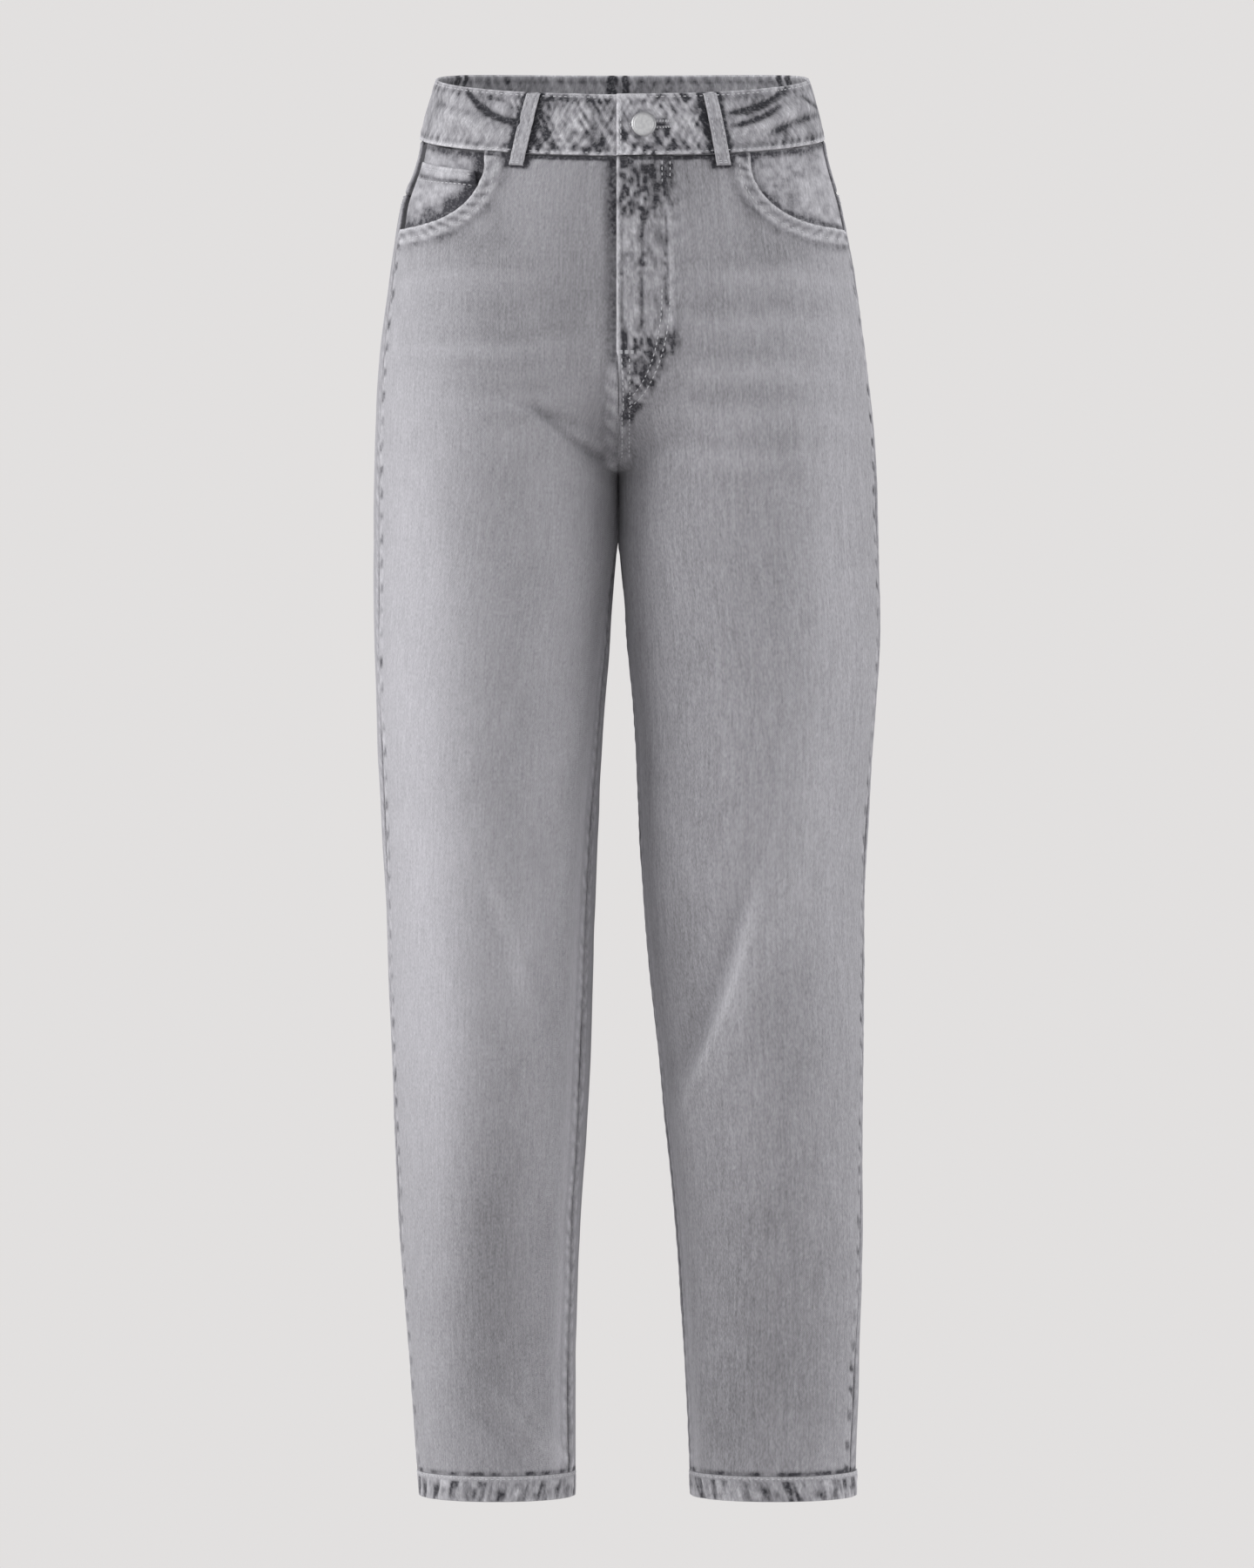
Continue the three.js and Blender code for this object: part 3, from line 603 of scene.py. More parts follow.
class Nodes:
    """Short ways to add nodes to a tree and join them up."""

    def __init__(self, tree):
        self.tree = tree

    def add(self, kind, **settings):
        node = self.tree.nodes.new(kind)
        for key, value in settings.items():
            setattr(node, key, value)
        return node

    def join(self, source, target):
        self.tree.links.new(source, target)

    def feed(self, value, socket):
        if isinstance(value, bpy.types.NodeSocket):
            self.join(value, socket)
        else:
            socket.default_value = value

    def math(self, operation, a, b=0.0):
        node = self.add("ShaderNodeMath", operation=operation)
        for value, socket in zip((a, b), node.inputs):
            self.feed(value, socket)
        return node.outputs[0]

    def mix_colour(self, factor, a, b):
        node = self.add("ShaderNodeMix", data_type="RGBA", clamp_factor=True)
        self.feed(factor, node.inputs["Factor"])
        self.feed(a, node.inputs[6])
        self.feed(b, node.inputs[7])
        return node.outputs[2]

    def noise(self, vector, scale, detail=2.0, roughness=0.5):
        node = self.add("ShaderNodeTexNoise")
        self.join(vector, node.inputs["Vector"])
        node.inputs["Scale"].default_value = scale
        node.inputs["Detail"].default_value = detail
        node.inputs["Roughness"].default_value = roughness
        return node.outputs["Fac"]

    def stretched(self, vector, scale):
        node = self.add("ShaderNodeVectorMath", operation="MULTIPLY")
        self.join(vector, node.inputs[0])
        node.inputs[1].default_value = scale
        return node.outputs[0]


# %% Group: twill weave
def twill_group():
    """Slanting ribs with broken lines of pale yarn. Height feeds a bump, Tone is around 0."""
    tree = new_group(
        "Twill weave",
        [("Grain", "NodeSocketVector", None), ("Ribs per metre", "NodeSocketFloat", 900.0)],
        [("Height", "NodeSocketFloat"), ("Tone", "NodeSocketFloat")],
    )
    n = Nodes(tree)
    inlet = n.add("NodeGroupInput")
    outlet = n.add("NodeGroupOutput")
    split = n.add("ShaderNodeSeparateXYZ")
    n.join(inlet.outputs["Grain"], split.inputs[0])
    slant = n.math("ADD", split.outputs["X"], n.math("MULTIPLY", split.outputs["Y"], 0.9))
    wobble = n.math("MULTIPLY", n.noise(inlet.outputs["Grain"], 260.0), 0.0016)
    turns = n.math("MULTIPLY", n.math("ADD", slant, wobble), inlet.outputs["Ribs per metre"])
    rib = n.math("SINE", n.math("MULTIPLY", turns, 2 * math.pi))
    yarn = n.noise(n.stretched(inlet.outputs["Grain"], (1500.0, 420.0, 1.0)), 1.0, 1.0)
    speck = n.math("SUBTRACT", yarn, 0.5)
    n.join(n.math("ADD", n.math("MULTIPLY", rib, 0.5), speck), outlet.inputs["Height"])
    ribs = n.math("MULTIPLY", rib, 0.16)
    n.join(n.math("ADD", ribs, n.math("MULTIPLY", speck, 1.6)), outlet.inputs["Tone"])
    return tree


TWILL = twill_group()


# %% Group: slubs and cloudy wash
def slub_group():
    """Upright streaks of thick and thin yarn, and the clouds that washing leaves. Both are around 0."""
    tree = new_group(
        "Slubs and clouds",
        [("Grain", "NodeSocketVector", None)],
        [("Slubs", "NodeSocketFloat"), ("Clouds", "NodeSocketFloat")],
    )
    n = Nodes(tree)
    inlet = n.add("NodeGroupInput")
    outlet = n.add("NodeGroupOutput")
    long_yarn = n.noise(n.stretched(inlet.outputs["Grain"], (700.0, 32.0, 1.0)), 1.0, 2.0)
    short_yarn = n.noise(n.stretched(inlet.outputs["Grain"], (480.0, 120.0, 1.0)), 1.0, 2.0, 0.6)
    streaks = n.math("ADD", n.math("SUBTRACT", long_yarn, 0.5), n.math("SUBTRACT", short_yarn, 0.5))
    n.join(streaks, outlet.inputs["Slubs"])
    clouds = n.noise(n.stretched(inlet.outputs["Grain"], (26.0, 17.0, 1.0)), 1.0, 4.0, 0.6)
    n.join(n.math("SUBTRACT", clouds, 0.5), outlet.inputs["Clouds"])
    return tree


SLUBS = slub_group()


# %% Group: specks of wear and painted shade
def wear_and_shade_specks_group():
    """Breaks the rubbing, and the shade and highlight painted with it, into pale and dark specks, as stones
    in washing do to the rubbing.
    """
    tree = new_group(
        "Rubbed seams",
        [("Grain", "NodeSocketVector", None), ("Rub", "NodeSocketFloat", 0.0)],
        [("Pale", "NodeSocketFloat"), ("Dark", "NodeSocketFloat")],
    )
    n = Nodes(tree)
    inlet = n.add("NodeGroupInput")
    outlet = n.add("NodeGroupOutput")
    specks = n.math("SUBTRACT", n.noise(inlet.outputs["Grain"], 420.0, 3.0, 0.65), 0.5)
    rub = inlet.outputs["Rub"]
    speckled = n.math("MULTIPLY", n.math("ABSOLUTE", rub), 2.2)
    strength = n.math("ADD", rub, n.math("MULTIPLY", specks, speckled))
    pale = n.math("MINIMUM", n.math("MAXIMUM", strength, 0.0), 1.0)
    dark = n.math("MINIMUM", n.math("MAXIMUM", n.math("MULTIPLY", strength, -1.0), 0.0), 1.0)
    n.join(pale, outlet.inputs["Pale"])
    n.join(dark, outlet.inputs["Dark"])
    return tree


WEAR_AND_SHADE_SPECKS = wear_and_shade_specks_group()


# %% Material: denim
def denim(name, base, pale, dark, twill=0.5, slubs=0.42, clouds=0.26):
    """Denim of one shade. base is its colour where untouched, pale where rubbed and where a highlight is
    painted, dark where unwashed and where shade is painted.
    """
    material = bpy.data.materials.new(name)
    material.use_nodes = True
    n = Nodes(material.node_tree)
    n.tree.nodes.clear()
    out = n.add("ShaderNodeOutputMaterial")
    shader = n.add("ShaderNodeBsdfPrincipled")
    n.join(shader.outputs[0], out.inputs["Surface"])
    grain = n.add("ShaderNodeAttribute", attribute_name="grain").outputs["Vector"]
    wash = n.add("ShaderNodeAttribute", attribute_name="wash").outputs["Fac"]
    rub = n.add("ShaderNodeAttribute", attribute_name="rub").outputs["Fac"]
    weave = n.add("ShaderNodeGroup", node_tree=TWILL)
    yarn = n.add("ShaderNodeGroup", node_tree=SLUBS)
    marks = n.add("ShaderNodeGroup", node_tree=WEAR_AND_SHADE_SPECKS)
    for group in (weave, yarn, marks):
        n.join(grain, group.inputs["Grain"])
    n.join(rub, marks.inputs["Rub"])
    tone = n.math("ADD", 1.0, wash)
    tone = n.math("ADD", tone, n.math("MULTIPLY", weave.outputs["Tone"], twill))
    tone = n.math("ADD", tone, n.math("MULTIPLY", yarn.outputs["Slubs"], slubs))
    tone = n.math("ADD", tone, n.math("MULTIPLY", yarn.outputs["Clouds"], clouds))
    # pale stands for rubbing and painted highlight, dark for unwashed cloth and painted shade
    worn_and_shaded = n.mix_colour(marks.outputs["Pale"], (*base, 1), (*pale, 1))
    worn_and_shaded = n.mix_colour(marks.outputs["Dark"], worn_and_shaded, (*dark, 1))
    shade = n.add("ShaderNodeVectorMath", operation="SCALE")
    n.join(worn_and_shaded, shade.inputs[0])
    n.join(tone, shade.inputs["Scale"])
    n.join(shade.outputs[0], shader.inputs["Base Color"])
    rough = n.math("ADD", 0.88, n.math("MULTIPLY", weave.outputs["Tone"], 0.05))
    n.join(rough, shader.inputs["Roughness"])
    height = n.math("ADD", weave.outputs["Height"], n.math("MULTIPLY", yarn.outputs["Slubs"], 1.5))
    relief = n.add("ShaderNodeBump")
    relief.inputs["Strength"].default_value = 0.5
    relief.inputs["Distance"].default_value = 0.0003
    n.join(height, relief.inputs["Height"])
    n.join(relief.outputs[0], shader.inputs["Normal"])
    shader.inputs["Sheen Weight"].default_value = 0.12
    shader.inputs["Sheen Roughness"].default_value = 0.5
    shader.inputs["Specular IOR Level"].default_value = 0.25
    return material


DENIM = denim("Washed denim", (0.335, 0.33, 0.35), (0.56, 0.555, 0.58), (0.045, 0.044, 0.052))
BAND_DENIM = denim(
    "Waistband denim", (0.33, 0.325, 0.345), (0.6, 0.595, 0.62), (0.036, 0.036, 0.043), clouds=0.3
)


# %% Material: thread, tape and button metal
def thread(name, colour):
    """Cotton thread, twisted: a little uneven in tone along its length."""
    material = bpy.data.materials.new(name)
    material.use_nodes = True
    n = Nodes(material.node_tree)
    shader = n.tree.nodes["Principled BSDF"]
    place = n.add("ShaderNodeTexCoord").outputs["Object"]
    tone = n.math("ADD", 0.78, n.math("MULTIPLY", n.noise(place, 700.0, 2.0), 0.44))
    shade = n.add("ShaderNodeVectorMath", operation="SCALE")
    shade.inputs[0].default_value = colour
    n.join(tone, shade.inputs["Scale"])
    n.join(shade.outputs[0], shader.inputs["Base Color"])
    shader.inputs["Roughness"].default_value = 0.8
    return material


def button_metal(place_m):
    """Old silver: pale on the rubbed dome, darker round the rim, dull in between."""
    material = bpy.data.materials.new("Old silver")
    material.use_nodes = True
    n = Nodes(material.node_tree)
    shader = n.tree.nodes["Principled BSDF"]
    place = n.add("ShaderNodeTexCoord").outputs["Object"]
    from_axis = n.add("ShaderNodeVectorMath", operation="SUBTRACT")
    n.join(place, from_axis.inputs[0])
    from_axis.inputs[1].default_value = place_m
    across = n.add("ShaderNodeVectorMath", operation="MULTIPLY")
    n.join(from_axis.outputs[0], across.inputs[0])
    across.inputs[1].default_value = (1000.0, 0.0, 1000.0)
    radius = n.add("ShaderNodeVectorMath", operation="LENGTH")
    n.join(across.outputs[0], radius.inputs[0])
    rim = n.math("DIVIDE", n.math("SUBTRACT", radius.outputs["Value"], BUTTON.pale), BUTTON.rim - BUTTON.pale)
    rim = n.math("MINIMUM", n.math("MAXIMUM", rim, 0.0), 1.0)
    patches = n.noise(place, 500.0, 4.0, 0.6)
    dome = n.mix_colour(patches, (0.42, 0.42, 0.43, 1), (0.78, 0.78, 0.77, 1))
    colour = n.mix_colour(n.math("MULTIPLY", rim, 0.75), dome, (0.22, 0.22, 0.23, 1))
    n.join(colour, shader.inputs["Base Color"])
    n.join(n.math("ADD", 0.36, n.math("MULTIPLY", patches, 0.2)), shader.inputs["Roughness"])
    shader.inputs["Metallic"].default_value = 0.55
    relief = n.add("ShaderNodeBump")
    relief.inputs["Strength"].default_value = 0.2
    relief.inputs["Distance"].default_value = 0.0002
    n.join(patches, relief.inputs["Height"])
    n.join(relief.outputs[0], shader.inputs["Normal"])
    return material


PALE_THREAD = thread("Pale thread", (0.52, 0.52, 0.54))
TAPE = denim("Zip tape", (0.09, 0.09, 0.1), (0.12, 0.12, 0.13), (0.05, 0.05, 0.06))
print("materials:", len(bpy.data.materials))

# %% [markdown]
# ## Seam relief
# Beside every seam the cloth is doubled, so it stands a little proud, dips where the needle went through
# and draws up into small slanting puckers, because thread shrinks less than denim in the wash. The same
# wave that lifts the cloth also decides where it is rubbed pale, so the marks sit on real ridges.

# %% Relief of a sewn edge


def sewn_edge(along, away, width, period, seed, strength=1.0, valley=1.3):
    """Height in millimetres, and rubbing with a painted shadow in the valley, for a seam whose doubled cloth
    is width wide. The seam is the valley.
    """
    doubled = 1 - smooth(width - 2, width + 2.5, away)
    pucker = ripples(along, away, period, seed) * doubled * smooth(0, 2, away)
    height = 0.35 * doubled + 0.4 * strength * pucker - valley * bump(away, 1.2)
    speckle = soft_noise(along / 2.6, away / 2.6, seed + 9) * doubled
    shadow = -0.54 * valley * bump(away - 0.3, 1.1)
    rub = strength * (0.55 * pucker + 0.35 * speckle) + shadow - 0.22 * bump(away - width - 2, 2.5)
    return height, rub


def roped_edge(along, away, width, period, seed):
    """A seam drawn up into blocks: dark hollows at even steps beside it, broken up by washing."""
    doubled = 1 - smooth(width - 2, width + 2, away)
    drift = 0.3 * period * soft_noise(along / (period * 2.1), away * 0, seed)
    wave = np.sin(2 * np.pi * (along + 0.35 * away + drift) / period)
    fickle = 0.55 + 0.45 * soft_noise(along / (period * 1.6), away / 14, seed + 2)
    block = smooth(0.15, 0.7, wave) * fickle * doubled * smooth(1.6, 3.4, away)
    speckle = soft_noise(along / 2.2, away / 2.2, seed + 9) * doubled
    height = 0.3 * doubled - 0.6 * block - 0.7 * bump(away, 1.2)
    rub = 0.14 * doubled - 1.15 * block + 0.3 * speckle - 0.3 * bump(away - 0.2, 1.0)
    return height, rub


def stitched_line(away, depth=0.35):
    """The shallow channel that a row of stitches pulls into the cloth."""
    return -depth * bump(away, 0.9)


def rolled(away, radius):
    """How far a surface falls in within a radius of a folded edge."""
    short = np.clip(radius - away, 0, radius)
    return radius - np.sqrt(radius**2 - short**2)


# %% Bleached and darker places, with painted light and shade
FADE_AND_PAINTED_LIGHT_COLUMNS = ("face", "x", "z", "wide", "tall", "gain")
FADE_AND_PAINTED_LIGHT = (
    # bleached thighs, partly painted light, and darker lower legs
    (1, -140, -360, 34, 260, 0.38),
    (1, -122, -640, 26, 190, 0.3),
    # painted light on the outer side of the left thigh
    (1, 146, -300, 20, 230, 0.16),
    (1, 112, -500, 36, 90, 0.08),
    (1, 30, -400, 42, 190, -0.08),
    (1, -69, -585, 12, 42, 0.16),
    (1, -92, -800, 24, 100, -0.26),
    (1, -40, -900, 70, 50, -0.06),
    (1, 100, -850, 90, 130, -0.18),
    (1, 74, -910, 30, 46, -0.12),
    # a painted shadow beside the fold on the left knee, and a painted highlight on its ridge
    (1, 46, -590, 14, 64, -0.2),
    (1, 78, -586, 13, 40, 0.16),
    (1, 120, -640, 30, 50, -0.08),
    (1, -44, -420, 20, 190, 0.08),
    (1, 26, -300, 18, 40, 0.06),
    (1, -80, -840, 60, 120, -0.05),
    # level whiskers on the right hip
    (1, -95, -104, 55, 5, -0.09),
    (1, -95, -113, 55, 5, 0.07),
    (1, -90, -134, 50, 7, -0.06),
    (1, -84, -153, 58, 6, -0.08),
    (1, -88, -164, 58, 5, 0.1),
    (1, -98, -174, 50, 5, -0.09),
    (1, -80, -188, 52, 5, -0.06),
    (1, -75, -200, 50, 6, 0.06),
    (1, -56, -210, 26, 5, -0.1),
    (1, -60, -224, 36, 6, 0.05),
    # level whiskers on the left hip
    (1, 100, -104, 56, 5, -0.11),
    (1, 104, -117, 52, 6, 0.1),
    (1, 90, -135, 50, 6, -0.12),
    (1, 94, -147, 56, 5, 0.12),
    (1, 88, -166, 50, 6, -0.12),
    (1, 94, -180, 54, 6, 0.13),
    (1, 82, -195, 46, 6, -0.12),
    (1, 98, -209, 54, 6, 0.09),
    (1, 90, -226, 44, 6, -0.07),
    (1, 78, -238, 46, 6, 0.09),
    (1, 92, -251, 40, 5, -0.04),
    # painted shade in the crotch, and darker cloth beside the fly and the pockets
    (1, -24, -222, 24, 14, -0.1),
    (1, 0, -240, 18, 13, -0.2),
    (1, -20, -120, 26, 80, -0.16),
    (1, -62, -146, 34, 30, -0.12),
    (1, 26, -44, 34, 30, -0.24),
    (1, 26, -160, 16, 40, -0.18),
    (1, -110, -90, 30, 11, -0.22),
    (1, -84, -76, 9, 22, -0.12),
    (1, 118, -94, 24, 9, -0.2),
    (1, 92, -76, 9, 24, -0.16),
    (1, 62, -30, 24, 14, -0.12),
    # the back: bleached seat and thighs, dark behind the knees
    (-1, -90, -170, 60, 90, 0.2),
    (-1, 90, -170, 60, 90, 0.2),
    (-1, -90, -420, 45, 140, 0.14),
    (-1, 90, -420, 45, 140, 0.14),
    (-1, -80, -660, 60, 40, -0.08),
    (-1, 90, -670, 60, 40, -0.08),
)


def fade_and_painted_light_at(p):
    """How far each place is bleached, and how much light and shade is painted on it, as a share of the base
    tone.
    """
    front = 1 - smooth(-40, 20, p[..., 1])
    z = p[..., 2] + 4 * soft_noise(p[..., 0] / 38, p[..., 2] / 60, 3)
    tone = np.zeros(p.shape[:-1])
    for w in named_rows(FADE_AND_PAINTED_LIGHT_COLUMNS, FADE_AND_PAINTED_LIGHT):
        on_face = front if w.face > 0 else 1 - front
        tone += w.gain * on_face * bump(p[..., 0] - w.x, w.wide) * bump(z - w.z, w.tall)
    return tone


def unevenness(p, seed=0):
    """Cloth is never quite smooth: slow swells with smaller ones on them, in millimetres."""
    slow = soft_noise(p[..., 0] / 42, p[..., 2] / 55, seed)
    quick = soft_noise(p[..., 0] / 13, p[..., 2] / 21, seed + 3)
    return 0.7 * slow + 0.2 * quick


# %% [markdown]
# ## Round the waist
# The waistband goes by the distance round the waist, from the left front's end to the underlap below it.
# The belt loops are placed by the same distance, and the cloth behind them needs to know where they are,
# because their shadow is painted on it.

# %% Distances round the waist
WAIST_STEPS = 400


def waist_ring(side):
    angles = np.linspace(-np.pi, np.pi, WAIST_STEPS + 1)
    points = plain_point(side, angles, WAIST_LINE.side)
    steps = np.linalg.norm(np.diff(points, axis=0), axis=1)
    return angles, np.concatenate([[0], np.cumsum(steps)])


RING = {side: waist_ring(side) for side in ("left", "right")}
LEFT_ROUND = RING["left"][1][-1]
WAIST_ROUND = LEFT_ROUND + RING["right"][1][-1]
BAND_START = -FLY.overlap
BAND_END = WAIST_ROUND + BAND.lap


def waist_distance(side, angle):
    """How far round the waist an angle lies, from the middle front to the wearer's left."""
    angles, reached = RING[side]
    distance = np.interp(angle, angles, reached)
    return distance if side == "left" else WAIST_ROUND - distance


# %% Belt loops' places
LOOP_PLACES = {
    "front_left": SimpleNamespace(at=70.5, lean=-5.0),
    "front_right": SimpleNamespace(at=WAIST_ROUND - 68.0, lean=7.5),
    "back_left": SimpleNamespace(at=250.0, lean=0.0),
    "back_right": SimpleNamespace(at=WAIST_ROUND - 246.0, lean=0.0),
    "middle_back": SimpleNamespace(at=LEFT_ROUND, lean=0.0),
}


def loop_shade(distance, above):
    """The painted shadow that each belt loop casts beside and below itself on the cloth behind it."""
    shade = 0.0
    for place in LOOP_PLACES.values():
        middle = place.at + place.lean * np.clip(above / BAND.height, 0, 1)
        apart = np.mod(distance - middle + WAIST_ROUND / 2, WAIST_ROUND) - WAIST_ROUND / 2
        outside = np.maximum(np.abs(apart) - LOOP.width / 2, -LOOP.below - above)
        inner_side = apart * np.where(np.mod(place.at, WAIST_ROUND) < LEFT_ROUND, -1, 1) > 0
        shade = shade + bump(outside - 0.6, np.where(inner_side, 3.2, 2.3))
    return shade


# %% [markdown]
# ## Fronts
# Each front runs from the fly to the side seam. Its pocket mouth is scooped out of the upper corner, and
# the cut edge is folded in and sewn down twice, so a band beside the mouth is thicker and stands off the
# hip a little. The left front also carries the fly: a doubled strip that ends in a curve, which real jeans
# keep in shape with two rows of stitches.

# %% The fronts as a surface
TOUCHING = SimpleNamespace(low_z=-291.0, high_z=-226.0, fade=8.0, near=9.0)
HEM_TOP = HEM.z + HEM.height
BELOW_WAIST = np.concatenate(
    [
        LEVEL_Z + (CROTCH_Z - LEVEL_Z) * np.sin(np.linspace(0, np.pi / 2 - 0.14, 58)),
        np.linspace(CROTCH_Z, HEM_TOP + 7, 202),
        HEM_TOP + np.linspace(6, 0, 9),
    ]
)


def mouth_distance(x, z):
    """How far a place on the front is from the pocket mouth's edge, above 0 on the cloth that is kept."""
    across = np.minimum(np.abs(x) - SCOOP.centre, 0) / SCOOP.half_width
    tall = SCOOP.top_z - SCOOP.bottom_z
    down = np.minimum(z - SCOOP.top_z, 0) / tall
    reach = np.maximum(np.hypot(across, down), 1e-6)
    slope = np.hypot(across / SCOOP.half_width, down / tall) / reach
    inside = (np.abs(x) > SCOOP.centre) & (z > SCOOP.top_z)
    return np.where(inside, -20.0, (reach - 1) / np.maximum(slope, 1e-6))


def mouth_along(x, z):
    return np.arctan2(SCOOP.top_z - z, SCOOP.centre - np.abs(x)) * SCOOP.radius


def fly_reach(z):
    drop = np.clip((FLY.straight_z - z) / (FLY.straight_z - FLY.end_z), 0, 1)
    return FLY.width * np.sqrt(1 - drop**2)


def fly_edge(z):
    """Where the left front's edge lies beyond the middle: over the right front down to the fly's end."""
    return -FLY.overlap * smooth(FLY.overlap_end_z - 8, FLY.overlap_end_z, z)


def front_inner(side, z):
    rise = angle_across(side, z, fly_edge(z) if side == "left" else 0.0, -1)
    rise = rise + seam_turn(z) * (1 - smooth(CROTCH_Z, CROTCH_Z + 20, z))
    return np.where(z > CROTCH_Z, rise, inner_edge(side, z, -1))


def closed_up(z, from_inner, height):
    """Presses the insides of the legs together just below the crotch, and parts them sharply below that."""
    touching = smooth(TOUCHING.low_z - TOUCHING.fade, TOUCHING.low_z, z)
    touching = touching * (1 - smooth(TOUCHING.high_z, TOUCHING.high_z + TOUCHING.fade, z))
    pressed = touching * bump(from_inner, TOUCHING.near)
    parted = PARTED.depth * bump(z - PARTED.z, PARTED.tall) * bump(from_inner, PARTED.wide)
    return (height - parted) * (1 - pressed) + 0.5 * pressed


def above_hem_shade(angle, from_hem, seed):
    """The uneven dark line along the step from the leg to the doubled hem."""
    patchy = np.clip(0.75 + 0.8 * soft_noise(angle * HEM.radius / 7, from_hem / 9, seed + 8), 0.1, 1)
    return 1.1 * bump(from_hem - 1.4, 1.7) * patchy


def painted_light_between_legs(z, from_inner):
    """Painted light on the insides of the legs, where the other leg shades them."""
    return 0.42 * smooth(1, 6, from_inner) * bump(from_inner - 8, 12) * (1 - smooth(-310, -268, z))


def mouth_relief(side, x, z, seed):
    """The pocket mouth's band: doubled, puckered, rolled at its edge and standing off the hip at the top."""
    mouth = mouth_distance(x, z)
    along = mouth_along(x, z)
    band = (1 - smooth(9.5, 12, mouth)) * smooth(-1, 0.5, mouth)
    pucker = ripples(along, mouth, 8, seed + 3) * band
    speckle = soft_noise(along / 2.4, mouth / 2.4, seed + 4)
    gape = (3.2 if side == "right" else 1.6) * bump(mouth, 16) * smooth(-74, -46, z)
    height = 0.6 * band + 0.25 * pucker - 1.2 * bump(np.minimum(mouth, 3), 0.9) + gape
    height = height + stitched_line(mouth - 1.8) + stitched_line(mouth - 7.8)
    rub = band * (0.1 + 0.4 * pucker + 0.4 * speckle)
    rub = rub + 0.85 * bump(mouth - 0.8, 1.2) + 0.4 * bump(mouth - 9.5, 1.3)
    rub = rub - 0.5 * bump(mouth - 4.6, 1.8) * (0.6 + 0.4 * speckle)
    # darker in uneven patches just outside the doubled band
    patchiness = np.clip(0.6 + 0.6 * soft_noise(along / 9, mouth / 9, seed + 6), 0, 1)
    return height, rub - 0.6 * bump(mouth - 13, 3.4) * patchiness * (1 + 0.5 * speckle)


def fly_relief(across, z, seed):
    """The fly's doubled strip: crumpled and dark at the top and at its curved end, striped between."""
    inside = smooth(-3, 1, fly_reach(z) - across) * smooth(FLY.end_z - 4, FLY.end_z, z)
    fine = soft_noise(across / 2.3, z / 3.2, seed) + 0.8 * soft_noise(across / 4.4, z / 7, seed + 1)
    top = smooth(-80, -62, z)
    curve = 1 - smooth(-158, -146, z)
    stripes = (1 - top) * (1 - curve)
    reach = 9 + 34 * np.clip((z + 214) / 54, 0, 1)
    gathered = curve * smooth(-3, 4, reach - across) * smooth(0, 4, across) * smooth(-220, -208, z)
    rib = 0.35 * bump(across - 8.5, 4.5) - 0.75 * bump(across - 16.3, 1.5) + 0.2 * bump(across - 24, 5)
    rib = rib - 0.65 * bump(across - 33, 1.2) * smooth(-140, -128, z) + 0.6 * bump(across - 36.5, 1.3)
    ridge = ripples(-z, across, 11, seed + 2) * bump(across - fly_reach(z), 8) * smooth(-200, -180, z)
    busy = top + gathered + 0.45 * stripes
    height = FLY.rise * inside + (0.3 * fine * busy + 0.35 * rib * stripes) * inside + 0.3 * ridge
    height = height + stitched_line(across - fly_reach(z) + 1.5) + stitched_line(across - fly_reach(z) + 7)
    rub = inside * (stripes * (rib + 0.5 * fine - 0.08) + top * (0.95 * fine - 0.6)) + 0.2 * ridge
    return height, rub + gathered * (1.0 * fine - 0.65)


